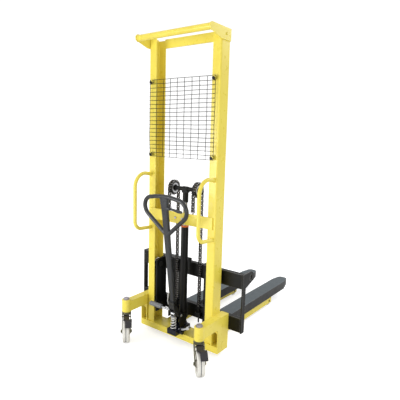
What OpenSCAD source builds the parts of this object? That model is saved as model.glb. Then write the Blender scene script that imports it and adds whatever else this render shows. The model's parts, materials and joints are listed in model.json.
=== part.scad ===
// Manual mast stacker: two channel uprights, a chain-lifted fork carriage,
// a hand pump with a loop handle, two swivel casters and two legs with load wheels.
// X runs to the right, Y forward along the forks, Z up. Y is measured from the
// rear face of the uprights and then shifted so that the origin is under the middle.

/* [Mast] */
// Height of the top of the head plates above the ground
overall_h = 2015; // [1900:5:2200]
// Width over the webs of the two uprights
mast_w = 562; // [540:2:600]
// Depth of an upright, rear face to front face
mast_d = 93; // [90:1:100]
// Width of an upright's flange
flange_w = 59; // [54:1:66]
// Wall of an upright
channel_t = 6; // [5:0.5:7]
// Outer corner radius of an upright
channel_r = 9; // [7:1:12]
// Height of the cross beam behind the uprights, at its lower edge
beam_z = 829; // [815:1:850]
// Height of the cross beam's face
beam_h = 74; // [60:1:90]
// Thickness of the cross beam
beam_t = 10; // [8:1:14]

/* [Head] */
// Height of a head plate's straight front part
head_plate_h = 69; // [60:1:80]
// Thickness of a head plate
head_plate_t = 6; // [5:1:8]
// How far the head tube's axis stands behind the uprights
head_tube_back = 102; // [90:1:115]
// Diameter of the head tube
head_tube_d = 38; // [32:1:42]
// Wall of the head tube
head_tube_wall = 3; // [2:0.5:4]
// Height of the bar between the tops of the uprights
head_bar_h = 57; // [50:1:65]

/* [Mesh guard] */
// Width of the mesh guard
mesh_w = 520; // [480:2:530]
// Height of the mesh guard
mesh_h = 492; // [440:2:540]
// Height of the mesh guard's lower edge
mesh_z = 1254; // [1200:2:1300]
// Thickness of a mesh wire
wire_d = 3.6; // [3:0.2:4.4]
// Number of upright wires
wires_across = 10; // [8:1:12]
// Number of level wires
wires_up = 20; // [16:1:22]
// Gap between the uprights and the mesh
mesh_gap = 16; // [12:1:22]

/* [Grab handles] */
// Diameter of a grab handle's tube
grab_d = 24; // [20:1:28]
// How far a grab handle stands behind the uprights
grab_reach = 148; // [130:2:165]
// Height of a grab handle's upper end
grab_top_z = 1134; // [1110:2:1150]
// Height of a grab handle's lower end
grab_low_z = 765; // [745:2:785]
// How much a grab handle rises on its way out from its upper end
grab_rise = 24; // [0:2:30]
// How much a grab handle rises on its way out from its lower end
grab_foot_rise = 8; // [0:2:20]
// Upper bend radius of a grab handle
grab_bend = 88; // [60:2:96]
// Lower bend radius of a grab handle
grab_foot_bend = 58; // [40:2:90]

/* [Base] */
// Gap under the base cross member
base_gap = 35; // [28:1:42]
// Height of the base cross member
base_h = 44; // [38:1:50]
// Gap between the base and the carriage in front of it
base_room = 5; // [3:0.5:12]
// How far the base cross member stands behind the uprights
base_back = 11; // [6:1:16]
// Width of an outrigger beside its upright
outrigger_w = 55; // [52:1:62]
// Height of the top of an outrigger
outrigger_z = 272; // [260:1:280]
// Height of an outrigger's arm
arm_h = 72; // [64:1:80]
// Plate thickness of the base and the outriggers
plate_t = 6; // [5:0.5:8]

/* [Legs] */
// Gap under a leg
leg_gap = 20; // [16:1:24]
// Height of a leg
leg_h = 50; // [44:1:51]
// Width of a leg
leg_w = 56; // [50:1:64]
// Distance from the middle to a leg's centre line
leg_x = 172; // [168:1:176]
// How far a leg reaches in front of the uprights' rear face
leg_end = 1000; // [940:5:1050]
// Diameter of a load wheel
load_wheel_d = 74; // [70:1:76]
// Diameter of a load wheel's axle
load_axle_d = 20; // [16:1:24]

/* [Casters] */
// Distance from the middle to a caster's pivot
caster_x = 311.5; // [309:0.5:314]
// How far a caster's pivot stands behind the uprights
caster_back = 177.5; // [168:0.5:190]
// Diameter of a caster's boss
boss_d = 62; // [58:1:66]
// Height of a caster's boss
boss_h = 85; // [78:1:90]
// Height of the lower face of a caster's boss
boss_z = 196; // [192:1:200]
// Diameter of the swivel bolt
king_d = 25; // [22:1:28]
// Diameter of a caster wheel
wheel_d = 150; // [144:1:152]
// Width of a caster wheel
wheel_w = 46; // [42:1:48]
// Diameter of a caster wheel's axle
wheel_axle_d = 12; // [10:1:14]
// Distance from the pivot to the wheel's axle
caster_trail = 55; // [50:1:58]
// Heading of the trailing wheels, as in the photograph
caster_turn = -45; // [-60:1:-30]

/* [Hydraulic unit] */
// Diameter of the lift cylinder
cyl_d = 50; // [46:1:54]
// Height of the top of the lift cylinder
cyl_top_z = 799; // [770:1:805]
// Diameter of the piston rod
rod_d = 28; // [26:1:32]
// Height of the orange wiper ring
ring_h = 10; // [8:1:14]
// Height of the pump block
block_h = 36; // [32:1:42]
// Width of the pump block
block_w = 76; // [70:1:84]
// How far the pump block stands behind the uprights
block_back = 66; // [66:1:70]
// Distance from the uprights' rear face back to the plunger's axis
plunger_back = 46; // [45:0.5:47]
// Diameter of the pump plunger
plunger_d = 18; // [16:1:20]
// Height of the plunger's cap at rest
cap_z = 208; // [206:1:212]
// Outer diameter of the return spring
spring_d = 39; // [37:1:39]
// Wire diameter of the return spring
spring_wire = 5; // [4:0.5:5]
// Turns of the return spring
spring_turns = 5; // [4:1:7]

/* [Handle] */
// Distance from the rocker's pin to the roller's axis
rocker_r = 46; // [44:0.5:48]
// Rise of the roller above the pin at rest, as an angle
rocker_rise = 25; // [22:1:27]
// Swing of the handle
handle_swing = 50; // [44:1:54]
// Diameter of the rocker's pin
rocker_pin_d = 14; // [12:1:16]
// Diameter of the roller
roller_d = 28; // [26:1:30]
// Lean of the handle from the vertical
handle_lean = 7.8; // [6:0.2:9]
// Offset of the handle's pole behind the pin
pole_back = 40; // [38:1:42]
// Width of the pole at its top
pole_top_w = 46; // [40:1:50]
// Width of the pole at its foot
pole_low_w = 32; // [28:1:36]
// Thickness of the pole
pole_t = 21; // [18:1:24]
// Tube diameter of the handle's loop
loop_d = 24; // [20:1:26]
// Corner radius of the loop's centre line
loop_r = 68; // [60:1:74]
// Distance from the middle to a loop corner's centre
loop_x = 103; // [96:1:110]
// Height of the loop corners' centres above the pin, along the pole
loop_z = 754; // [735:1:770]
// Height of the loop's lower point above the pin, along the pole
loop_low_z = 578; // [560:1:600]
// Length of the pedal bar beside the rocker
pedal_len = 176; // [160:1:190]
// Length of the pedal's rubber sleeve
sleeve_len = 104; // [90:1:116]

/* [Lift chain] */
// Pitch of the chain
chain_pitch = 15.875; // [15.875]
// Teeth of a sprocket
teeth = 18; // [18]
// Distance from the middle to a chain
chain_x = 99; // [96:0.5:102]
// Distance from the uprights' rear face to the chains' rear runs
rear_run_y = 8.3; // [8.3:0.1:11]
// Height of the sprockets' axle
sprocket_z = 1052; // [1040:1:1065]
// Diameter of the sprockets' axle
axle_d = 19; // [17:1:21]

/* [Carriage] */
// Half the width over the carriage's end plates
carriage_x = 431; // [420:1:440]
// Distance from the chains' front runs to the cross plates
chain_room = 10.3; // [9:0.1:13]
// Depth of the cross plates
cross_d = 32; // [28:1:36]
// Wall of the cross plates' folded section
cross_t = 8; // [6:1:10]
// Height of the upper cross plate
upper_h = 95; // [88:1:100]
// Height of the upper cross plate's lower edge
upper_z = 452; // [446:1:458]
// Height of the lower cross plate
lower_h = 95; // [88:1:100]
// Height of the lower cross plate's lower edge
lower_z = 160; // [158:1:166]
// Thickness of the end plates and the roller plates
side_t = 10; // [8:1:12]
// Distance from the uprights' rear face to an ear's hole
ear_y = 203; // [195:1:212]
// Diameter of an ear's hole
ear_hole_d = 38; // [34:1:40]
// Rim around an ear's hole
ear_rim = 21; // [17:1:24]
// Width of a mast roller
mast_roller_w = 34; // [30:1:38]
// Diameter of a mast roller's stub axle
stub_d = 25; // [22:1:28]

/* [Forks] */
// Distance from the middle to a fork's centre line
fork_x = 156; // [155:1:158]
// Width of a fork
fork_w = 112; // [110:1:114]
// Height of the top of the forks, as in the photograph
fork_top_z = 143; // [140:1:150]
// Depth of a fork's side walls
fork_h = 68; // [62:1:68]
// Depth of a fork at its tip
tip_h = 54; // [44:1:62]
// Plate thickness of a fork
fork_t = 7; // [6:0.5:8]
// Length of a fork in front of its shank
fork_len = 1150; // [1000:10:1150]
// Thickness of a fork's shank
shank_t = 26; // [22:1:30]

/* [Fits] */
// Running clearance of shafts and pins, radial
run_gap = 0.05; // [0.03:0.01:0.08]
// Working gap between moving faces
work_gap = 0.3; // [0.2:0.05:0.5]

/* [Hidden] */

YELLOW = [0.94, 0.85, 0.25];
BLACK = [0.13, 0.13, 0.12];
GREY = [0.27, 0.29, 0.31];
STEEL = [0.72, 0.73, 0.75];
NYLON = [0.93, 0.92, 0.88];
ORANGE = [0.92, 0.42, 0.12];

round_fn = 72;
small_fn = 36;

// Levels that follow from the driving sizes
base_top = base_gap + base_h;
base_w = mast_w + 2 * outrigger_w;
upright_top = overall_h - 7;
channel_in = mast_d - 2 * channel_t;
channel_mid_y = mast_d / 2;
web_x = mast_w / 2;
mouth_x = web_x - flange_w;

// The lift's line along Y: a chain run behind the cylinder and one in front of it
pitch_r = chain_pitch / (2 * sin(180 / teeth));
lift_y = rear_run_y + pitch_r;
front_run_y = lift_y + pitch_r;
carriage_y = front_run_y + chain_room;

// The base fills the depth behind the carriage
base_y0 = -base_back;
base_y1 = carriage_y - base_room;
base_d = base_y1 - base_y0;

// The frame's middle along Y, between the caster wheels and the fork tips
shank_y = carriage_y + cross_d;
fork_tip_y = shank_y + shank_t + fork_len;
wheel_edge = 5;
rear_y = -caster_back + sin(caster_turn) * (caster_trail + wheel_d / 2 - wheel_edge)
    - cos(caster_turn) * (wheel_w / 2 - wheel_edge) - wheel_edge;
shift_y = (fork_tip_y + rear_y) / 2;

// Chain and sprocket
link_r = 7.8;
link_t = 3.6;
link_in = 7.2;
chain_roller_r = 5;
sprocket_w = 9;
tip_r = pitch_r + 4.6;
hub_r = 20;
hub_w = 24;
shoulder_r = pitch_r - link_r - 1.9;
shoulder_w = 14;
neck_r = rod_d / 2 + 5;
neck_h = 64;
yoke_h = 24;
anchor_r = 5;
beam_top = beam_z + beam_h;
shelf_w = 44;
shelf_t = 14;
shelf_drop = 24;
shelf_d = rear_run_y + 9.5;
link_step = PI * pitch_r / (teeth / 2);
rear_links = floor((sprocket_z - beam_top - 16) / link_step);
front_links = floor((sprocket_z - lower_z - lower_h + 8) / link_step);
rear_anchor_z = sprocket_z - rear_links * link_step;
front_anchor_z = sprocket_z - front_links * link_step;

// Pump, plunger and rocker
block_y0 = -block_back;
block_y1 = lift_y + cyl_d / 2 + 9;
block_top = base_top + block_h;
cap_h = 8;
cap_r = spring_d / 2;
guide_h = 35;
guide_wall = 3.5;
rocker_pin_y = -plunger_back + rocker_r * cos(rocker_rise);
roller_z = cap_z + work_gap + roller_d / 2;
rocker_pin_z = roller_z - rocker_r * sin(rocker_rise);
stroke = 2 * rocker_r * sin(handle_swing / 2);
rocker_in = 16;
rocker_plate = 7;
rocker_half = rocker_in + rocker_plate;
cheek_t = 7;
cheek_in = rocker_half + 1;
valve_r = 13;
valve_z = base_top + 18;
lever_w = 22;
lever_y = block_y0 + 42;
lever_pin_x = block_w / 2 + 14;
lever_pin_z = valve_z + valve_r + 8;
lever_pin_r = 3;

// Carriage
upper_top = upper_z + upper_h;
lower_top = lower_z + lower_h;
mast_roller_r = channel_in / 2 - 0.4;
roller_x0 = mouth_x + 8;
roller_plate_x = mouth_x - 6;
upper_roller_z = 500;
lower_roller_z = 205;
roller_zs = [upper_roller_z, lower_roller_z];
fork_y0 = shank_y;

// Casters
swivel_z = boss_z - work_gap;
crown_h = 10;
fork_leg_t = 4;
fork_leg_in = wheel_w / 2 + 3.4;
brake_x = caster_trail - 25;
brake_z = wheel_d + 18;

// Loop handle, in its own frame with the pin at the origin
finger_z = 758;
finger_pin_x = pole_top_w / 2 + 12;
finger_pin_r = 3;
finger_t = 9;
pole_foot = 118;
loop_top_z = loop_z + loop_r + 11;

module place() {
    translate([0, -shift_y, 0]) children();
}

module at_handle() {
    place() translate([0, rocker_pin_y, rocker_pin_z]) rotate([handle_lean, 0, 0]) children();
}

module at_caster(side) {
    place() translate([side * caster_x, -caster_back, 0]) rotate([0, 0, caster_turn]) children();
}

// A shaft along X, centred on the given point
module x_rod(r, len, fn = small_fn) {
    rotate([0, 90, 0]) cylinder(r = r, h = len, center = true, $fn = fn);
}

// A hexagon head or nut along X
module x_hex(r, len) {
    rotate([0, 90, 0]) cylinder(r = r, h = len, center = true, $fn = 6);
}

// A profile drawn in Y and Z, given a thickness along X from x0 to x1
module side_plate(x0, x1) {
    translate([x0, 0, 0]) rotate([90, 0, 90]) linear_extrude(height = x1 - x0) children();
}

// Points of an arc around c from angle a to b
function arc(c, r, a, b, n) =
    [for (i = [0:n]) [c[0] + r * cos(a + (b - a) * i / n), c[1] + r * sin(a + (b - a) * i / n)]];

function unit(v) = v / norm(v);

// A polyline's corner at b, rounded with radius r by n steps
function bend(a, b, c, r, n) =
    let (u = unit(a - b), v = unit(c - b), half = acos(u * v) / 2,
        reach = r / tan(half), mid = b + unit(u + v) * r / sin(half))
    [for (i = [0:n]) let (p = b + u * reach, q = b + v * reach, t = i / n,
        s = (p - mid) * sin((1 - t) * (180 - 2 * half)) + (q - mid) * sin(t * (180 - 2 * half)))
        mid + s / sin(180 - 2 * half)];

// A route through the points, with every inner corner rounded
function route(pts, r, n) = concat([pts[0]],
    [for (i = [1:len(pts) - 2]) each bend(pts[i - 1], pts[i], pts[i + 1], r, n)],
    [pts[len(pts) - 1]]);

// Directions for a tube's rings: each ring stands square to the mean of its two runs
function run_dir(pts, i) =
    let (a = pts[max(i - 1, 0)], b = pts[min(i + 1, len(pts) - 1)]) unit(b - a);

// One ring of a tube, built on a side direction that stays level or upright
function ring(p, d, r, sides, ref) =
    let (u = unit(cross(d, ref)), v = cross(u, d))
    [for (k = [0:sides - 1]) p + r * (cos(360 * k / sides) * u + sin(360 * k / sides) * v)];

// A closed tube swept along the points; ref is a direction that no run is parallel to
module tube(pts, r, sides, ref) {
    n = len(pts);
    verts = [for (i = [0:n - 1]) each ring(pts[i], run_dir(pts, i), r, sides, ref)];
    walls = [for (i = [0:n - 2], k = [0:sides - 1])
        let (m = (k + 1) % sides, a = i * sides + k, b = i * sides + m)
        each [[a, b, b + sides], [a, b + sides, a + sides]]];
    first = [for (k = [1:sides - 2]) [0, k + 1, k]];
    base = (n - 1) * sides;
    last = [for (k = [1:sides - 2]) [base, base + k, base + k + 1]];
    polyhedron(points = verts, faces = concat(walls, first, last));
}

// Mast

module channel_profile() {
    difference() {
        union() {
            translate([mouth_x, 0]) square([flange_w - channel_r, mast_d]);
            translate([web_x - channel_r, channel_r]) square([channel_r, mast_d - 2 * channel_r]);
            for (y = [channel_r, mast_d - channel_r])
                translate([web_x - channel_r, y]) circle(r = channel_r, $fn = small_fn);
        }
        translate([mouth_x - 1, channel_t]) square([flange_w - channel_t + 1, channel_in]);
    }
}

module upright(side) {
    color(YELLOW) place() translate([0, 0, base_top]) mirror([side < 0 ? 1 : 0, 0, 0])
        linear_extrude(height = upright_top - base_top) channel_profile();
}

module mast_upright_left() { upright(-1); }
module mast_upright_right() { upright(1); }

// Head plates: straight in front, drawn out to the tube behind
module head_plate_profile() {
    tube_z = overall_h - 4 - head_tube_d / 2;
    low_z = overall_h - head_plate_h;
    nose = head_tube_d / 2 + 4;
    union() {
        polygon([[-head_tube_back + 4, overall_h], [mast_d - 4, overall_h],
            [mast_d - 4, low_z], [-10, low_z], [-28, low_z + 3],
            [-head_tube_back + 8, tube_z - nose], [-head_tube_back - 14, tube_z - 8]]);
        intersection() {
            translate([-head_tube_back, tube_z]) circle(r = nose, $fn = round_fn);
            translate([-head_tube_back - 30, overall_h - 60]) square([60, 60]);
        }
    }
}

module head_plates() {
    color(YELLOW) place() for (side = [-1, 1])
        mirror([side < 0 ? 1 : 0, 0, 0])
            side_plate(web_x, web_x + head_plate_t) head_plate_profile();
}

module head_tube() {
    color(YELLOW) place() translate([0, -head_tube_back, overall_h - 4 - head_tube_d / 2])
        difference() {
            x_rod(head_tube_d / 2, mast_w, round_fn);
            x_rod(head_tube_d / 2 - head_tube_wall, mast_w + 2, round_fn);
        }
}

module head_bar() {
    color(YELLOW) place()
        translate([-mouth_x, mast_d - 2 * channel_t, overall_h - 1 - head_bar_h])
            cube([2 * mouth_x, 2 * channel_t, head_bar_h]);
}

// Mesh guard: level and upright wires as one welded net
module mesh_guard() {
    pitch_x = (mesh_w - wire_d) / (wires_across - 1);
    pitch_z = (mesh_h - wire_d) / (wires_up - 1);
    color(BLACK) place() translate([0, -mesh_gap, mesh_z]) rotate([90, 0, 0])
        linear_extrude(height = wire_d) difference() {
            translate([-mesh_w / 2, 0]) square([mesh_w, mesh_h]);
            for (i = [0:wires_across - 2], j = [0:wires_up - 2])
                translate([-mesh_w / 2 + wire_d + i * pitch_x, wire_d + j * pitch_z])
                    square([pitch_x - wire_d, pitch_z - wire_d]);
        }
}

// Fasteners of the frame: mesh posts, cross beam bolts and head bolts
bolt_r = 5;
bolt_head_r = 8;
bolt_head_h = 5;
washer_r = 13;
module y_bolt(len) {
    rotate([90, 0, 0]) {
        cylinder(r = bolt_r, h = len, $fn = small_fn);
        translate([0, 0, len]) cylinder(r = bolt_head_r, h = bolt_head_h, $fn = 6);
    }
}

module frame_bolts() {
    post_x = mesh_w / 2 - 12;
    color(STEEL) place() {
        for (x = [-post_x, post_x], z = [mesh_z + 14, mesh_z + mesh_h - 14])
            translate([x, 0, z]) rotate([90, 0, 0]) {
                cylinder(r = bolt_r, h = mesh_gap + wire_d + 1, $fn = small_fn);
                translate([0, 0, mesh_gap - 2]) cylinder(r = washer_r, h = 2, $fn = small_fn);
                translate([0, 0, mesh_gap + wire_d]) cylinder(r = washer_r, h = 2, $fn = small_fn);
                translate([0, 0, mesh_gap + wire_d + 1]) cylinder(r = bolt_head_r, h = 5, $fn = 6);
            }
        for (x = [-28, 28])
            translate([x, -beam_t, beam_z + beam_h / 2]) y_bolt(1);
        for (side = [-1, 1])
            translate([side * (web_x + head_plate_t + 2), channel_mid_y, overall_h - 34])
                x_hex(9, 4);
    }
}

// Grab handles
module grab_handle(side) {
    x = side * (web_x - flange_w / 2 + 10);
    mid_z = (grab_top_z + grab_low_z) / 2;
    upper = route([[x, -8, grab_top_z], [x, -grab_reach, grab_top_z + grab_rise],
        [x, -grab_reach, mid_z]], grab_bend, 10);
    lower = route([[x, -grab_reach, mid_z], [x, -grab_reach, grab_low_z + grab_foot_rise],
        [x, -8, grab_low_z]], grab_foot_bend, 8);
    grip = concat(upper, [for (i = [1:len(lower) - 1]) lower[i]]);
    color(YELLOW) place() tube(concat([[x, 0, grab_top_z]], grip, [[x, 0, grab_low_z]]),
        grab_d / 2, 14, [1, 0, 0]);
}

module grab_handle_left() { grab_handle(-1); }
module grab_handle_right() { grab_handle(1); }

// Cross beam with the shelf that holds the chains' rear ends
module mid_crossbeam() {
    beam_w = mast_w - 38;
    color(YELLOW) place() difference() {
        union() {
            translate([-beam_w / 2, -beam_t, beam_z]) cube([beam_w, beam_t, beam_h]);
            for (side = [-1, 1])
                translate([side * chain_x - shelf_w / 2, 0, beam_top - shelf_drop])
                    cube([shelf_w, shelf_d, shelf_t]);
        }
        for (side = [-1, 1])
            translate([side * chain_x, rear_run_y, beam_top - shelf_drop - 1])
                cylinder(r = anchor_r + run_gap, h = shelf_t + 2, $fn = small_fn);
    }
}

// Chain end fittings: a clevis block on a threaded stud with a nut
clevis_low = 14;
clevis_top = 6;
module chain_stud(stud_len) {
    slot_w = 2 * (link_in + link_t + work_gap);
    block_w = slot_w + 5;
    floor_z = -chain_roller_r - work_gap;
    difference() {
        translate([-block_w / 2, -7, -clevis_low]) cube([block_w, 14, clevis_low + clevis_top]);
        translate([-slot_w / 2, -8, floor_z]) cube([slot_w, 16, clevis_top - floor_z + 1]);
    }
    translate([0, 0, -clevis_low - stud_len]) cylinder(r = anchor_r, h = stud_len, $fn = small_fn);
}

module rear_chain_anchors() {
    nut_h = 8;
    stud_len = rear_anchor_z - clevis_low - beam_top + shelf_drop + nut_h + 6;
    color(STEEL) place() for (side = [-1, 1])
        translate([side * chain_x, rear_run_y, 0]) {
            translate([0, 0, rear_anchor_z]) chain_stud(stud_len);
            translate([0, 0, beam_top - shelf_drop - nut_h]) cylinder(r = 9, h = nut_h, $fn = 6);
            translate([0, 0, beam_top - shelf_drop + shelf_t]) cylinder(r = 9, h = nut_h - 2, $fn = 6);
        }
}

// Base
module base_crossmember() {
    color(YELLOW) place() difference() {
        translate([-base_w / 2, base_y0, base_gap]) cube([base_w, base_d, base_h]);
        translate([-base_w / 2 + plate_t, base_y0 + plate_t, base_gap - 1])
            cube([base_w - 2 * plate_t, base_d - 2 * plate_t, base_h - plate_t + 1]);
        translate([0, lift_y, base_gap]) cylinder(r = cyl_d / 2, h = base_h + 1, $fn = round_fn);
    }
}

// An outrigger: an upside-down channel beside the upright, drawn back to the caster's boss
module outrigger_side_profile() {
    arm_low = outrigger_z - arm_h;
    polygon(concat([[-caster_back, outrigger_z], [-caster_back, arm_low]],
        arc([base_y0 - 18, arm_low - 18], 18, 90, 0, 6),
        [[base_y0, base_top], [base_y1, base_top], [base_y1, outrigger_z]]));
}

module outrigger(side) {
    x0 = web_x;
    x1 = web_x + outrigger_w;
    arch_r = outrigger_w / 2 - plate_t;
    arch_top = outrigger_z - arm_h - 20;
    color(YELLOW) place() mirror([side < 0 ? 1 : 0, 0, 0]) difference() {
        union() {
            side_plate(x1 - plate_t, x1) outrigger_side_profile();
            side_plate(x0, x0 + plate_t) intersection() {
                outrigger_side_profile();
                translate([-caster_back, outrigger_z - arm_h]) square([caster_back, arm_h]);
            }
            translate([x0, -caster_back, outrigger_z - plate_t])
                cube([outrigger_w, caster_back + base_y1, plate_t]);
            translate([x0, -caster_back, outrigger_z - arm_h])
                cube([outrigger_w, caster_back + base_y0, plate_t]);
            translate([x0, base_y0, base_top]) difference() {
                cube([outrigger_w, plate_t, outrigger_z - base_top]);
                translate([plate_t, -1, -1]) cube([2 * arch_r, plate_t + 2, arch_top - arch_r - base_top + 1]);
                translate([plate_t + arch_r, -1, arch_top - arch_r - base_top]) rotate([-90, 0, 0])
                    cylinder(r = arch_r, h = plate_t + 2, $fn = small_fn);
            }
            translate([x0, base_y1 - plate_t, base_top]) cube([outrigger_w, plate_t, outrigger_z - base_top]);
        }
        translate([caster_x, -caster_back, outrigger_z - arm_h - 1])
            cylinder(r = boss_d / 2, h = arm_h + 2, $fn = round_fn);
    }
}

module outrigger_left() { outrigger(-1); }
module outrigger_right() { outrigger(1); }

module caster_bosses() {
    color(YELLOW) place() for (side = [-1, 1])
        translate([side * caster_x, -caster_back, boss_z]) difference() {
            cylinder(r = boss_d / 2, h = boss_h, $fn = round_fn);
            translate([0, 0, -1]) cylinder(r = king_d / 2 + run_gap, h = boss_h + 2, $fn = small_fn);
        }
}

// Legs: upside-down channels that end in two cheeks around the load wheel
axle_y = leg_end - 34;
axle_z = load_wheel_d / 2;
module leg(side) {
    cut_y = axle_y - load_wheel_d / 2 - 10;
    color(YELLOW) place() translate([side * leg_x, 0, 0]) difference() {
        translate([-leg_w / 2, base_y1, leg_gap]) cube([leg_w, leg_end - base_y1, leg_h]);
        translate([-leg_w / 2 + plate_t, base_y1 - 1, leg_gap - 1])
            cube([leg_w - 2 * plate_t, leg_end - base_y1 + 2, leg_h - plate_t + 1]);
        translate([-leg_w / 2 + plate_t, cut_y, leg_gap])
            cube([leg_w - 2 * plate_t, leg_end - cut_y + 1, leg_h + 1]);
        translate([0, axle_y, axle_z]) x_rod(load_axle_d / 2, leg_w + 2);
    }
}

module leg_left() { leg(-1); }
module leg_right() { leg(1); }

module load_wheel_axles() {
    color(STEEL) place() for (side = [-1, 1])
        translate([side * leg_x, axle_y, axle_z]) x_rod(load_axle_d / 2, leg_w);
}

module load_wheel(side) {
    half = leg_w / 2 - plate_t - 1;
    edge = 3;
    color(NYLON) place() translate([side * leg_x, axle_y, axle_z]) rotate([0, 90, 0])
        rotate_extrude($fn = round_fn)
            polygon([[load_axle_d / 2 + run_gap, -half], [load_wheel_d / 2 - edge, -half],
                [load_wheel_d / 2, -half + edge], [load_wheel_d / 2, half - edge],
                [load_wheel_d / 2 - edge, half], [load_axle_d / 2 + run_gap, half]]);
}

module load_wheel_left() { load_wheel(-1); }
module load_wheel_right() { load_wheel(1); }

// Hydraulic unit
module cylinder_tube() {
    seat = base_gap + 1;
    color(BLACK) place() translate([0, lift_y, seat]) difference() {
        cylinder(r = cyl_d / 2, h = cyl_top_z - seat, $fn = round_fn);
        translate([0, 0, 6]) cylinder(r = rod_d / 2 + 4, h = cyl_top_z, $fn = round_fn);
    }
}

module cylinder_ring() {
    color(ORANGE) place() translate([0, lift_y, cyl_top_z]) difference() {
        union() {
            cylinder(r = cyl_d / 2 + 1, h = ring_h - 4, $fn = round_fn);
            translate([0, 0, ring_h - 4]) cylinder(r = cyl_d / 2 - 4, h = 4, $fn = round_fn);
        }
        translate([0, 0, -1]) cylinder(r = rod_d / 2 + run_gap, h = ring_h + 2, $fn = round_fn);
    }
}

module pump_block() {
    color(BLACK) place() difference() {
        union() {
            translate([-block_w / 2, block_y0, base_top])
                cube([block_w, block_y1 - block_y0, block_h]);
            translate([0, -plunger_back, block_top])
                cylinder(r = plunger_d / 2 + guide_wall, h = guide_h, $fn = small_fn);
            translate([0, lift_y, block_top])
                cylinder(r = cyl_d / 2 + 4, h = 16, $fn = round_fn);
            translate([block_w / 2, lever_y, valve_z]) rotate([0, 90, 0])
                cylinder(r = valve_r, h = 26, $fn = small_fn);
            for (y = [lever_y - lever_w / 2 - 5.3, lever_y + lever_w / 2 + 0.3])
                translate([lever_pin_x, y, valve_z]) rotate([-90, 0, 0]) linear_extrude(height = 5) {
                    translate([0, valve_z - lever_pin_z]) circle(r = 7, $fn = small_fn);
                    translate([-7, valve_z - lever_pin_z]) square([14, lever_pin_z - valve_z]);
                }
            translate([lever_pin_x, lever_y, lever_pin_z]) rotate([90, 0, 0])
                cylinder(r = lever_pin_r, h = lever_w + 11, center = true, $fn = small_fn);
        }
        translate([0, -plunger_back, base_top + 5])
            cylinder(r = plunger_d / 2 + run_gap, h = block_h + guide_h, $fn = small_fn);
        translate([0, lift_y, base_top - 1])
            cylinder(r = cyl_d / 2, h = block_h + 20, $fn = round_fn);
    }
}

// Two cheeks that carry the rocker's pin, joined to the cylinder by a clamp band
module pump_bracket() {
    hub = rocker_pin_d / 2 + 9;
    band_z = block_top + 52;
    band_h = 26;
    color(BLACK) place() difference() {
        union() {
            for (side = [-1, 1])
                side_plate(side > 0 ? cheek_in : -cheek_in - cheek_t,
                    side > 0 ? cheek_in + cheek_t : -cheek_in) {
                    polygon([[rocker_pin_y - hub, rocker_pin_z], [rocker_pin_y - 10, block_top],
                        [lift_y - 26, block_top], [lift_y, band_z], [lift_y, band_z + band_h],
                        [rocker_pin_y + hub * 0.7, rocker_pin_z + hub * 0.7]]);
                    translate([rocker_pin_y, rocker_pin_z]) circle(r = hub, $fn = small_fn);
                }
            translate([0, lift_y, band_z])
                cylinder(r = cheek_in + cheek_t, h = band_h, $fn = round_fn);
        }
        translate([0, lift_y, block_top - 1])
            cylinder(r = cyl_d / 2, h = band_z + band_h - block_top + 2, $fn = round_fn);
        translate([0, rocker_pin_y, rocker_pin_z]) x_rod(rocker_pin_d / 2, 200);
    }
}

module rocker_pin() {
    len = 2 * (cheek_in + cheek_t);
    color(STEEL) place() translate([0, rocker_pin_y, rocker_pin_z]) {
        x_rod(rocker_pin_d / 2, len);
        for (side = [-1, 1]) translate([side * (len / 2 + 2), 0, 0]) x_rod(rocker_pin_d / 2 + 2, 4);
    }
}

module plunger() {
    bottom = base_top + 5 + stroke + 2;
    color(STEEL) place() translate([0, -plunger_back, 0]) {
        translate([0, 0, bottom])
            cylinder(r = plunger_d / 2, h = cap_z - cap_h - bottom, $fn = small_fn);
        translate([0, 0, cap_z - cap_h]) cylinder(r = cap_r, h = cap_h, $fn = small_fn);
    }
}

// Return spring: one unbroken wire with flat-laid end turns
spring_r = spring_d / 2 - spring_wire / 2;
spring_z0 = block_top + spring_wire / 2 + work_gap;
spring_z1 = cap_z - cap_h - spring_wire / 2 - work_gap;
spring_steps = 8;
end_turn = 0.75;
function spring_height(t) =
    let (n = spring_turns, lead = spring_wire * 1.12, free = spring_z1 - spring_z0 - 2 * lead)
    t < end_turn ? spring_z0 + lead * t / end_turn :
    t > n - end_turn ? spring_z1 - lead * (n - t) / end_turn :
    spring_z0 + lead + free * (t - end_turn) / (n - 2 * end_turn);
spring_pts = [for (i = [0:spring_turns * spring_steps])
    let (t = i / spring_steps)
    [spring_r * cos(360 * t), spring_r * sin(360 * t) - plunger_back, spring_height(t)]];
spring_gap = min([for (i = [0:len(spring_pts) - 1 - spring_steps])
    spring_pts[i + spring_steps][2] - spring_pts[i][2]]) - spring_wire;

module plunger_spring() {
    echo(least_gap_between_spring_turns = spring_gap);
    color(NYLON) place() tube(spring_pts, spring_wire / 2, 6, [0, 0, 1]);
}

// Release lever on the pump block's valve, with a round knob
module release_lever() {
    knob = [lever_pin_x + 60, lever_pin_z + 30];
    color(GREY) place() translate([0, lever_y, 0]) rotate([90, 0, 0])
        translate([0, 0, -lever_w / 2]) linear_extrude(height = lever_w) difference() {
            union() {
                polygon([[lever_pin_x - 17, lever_pin_z - 1], [lever_pin_x, lever_pin_z - 6],
                    [lever_pin_x + 22, lever_pin_z + 4], knob + [2, -8], knob + [-2, 2],
                    [lever_pin_x + 16, lever_pin_z + 13], [lever_pin_x, lever_pin_z + 7],
                    [lever_pin_x - 17, lever_pin_z + 5]]);
                translate([lever_pin_x, lever_pin_z]) circle(r = 7, $fn = small_fn);
                translate(knob) circle(r = 11, $fn = small_fn);
            }
            translate([lever_pin_x, lever_pin_z]) circle(r = lever_pin_r + run_gap, $fn = small_fn);
        }
}

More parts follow.
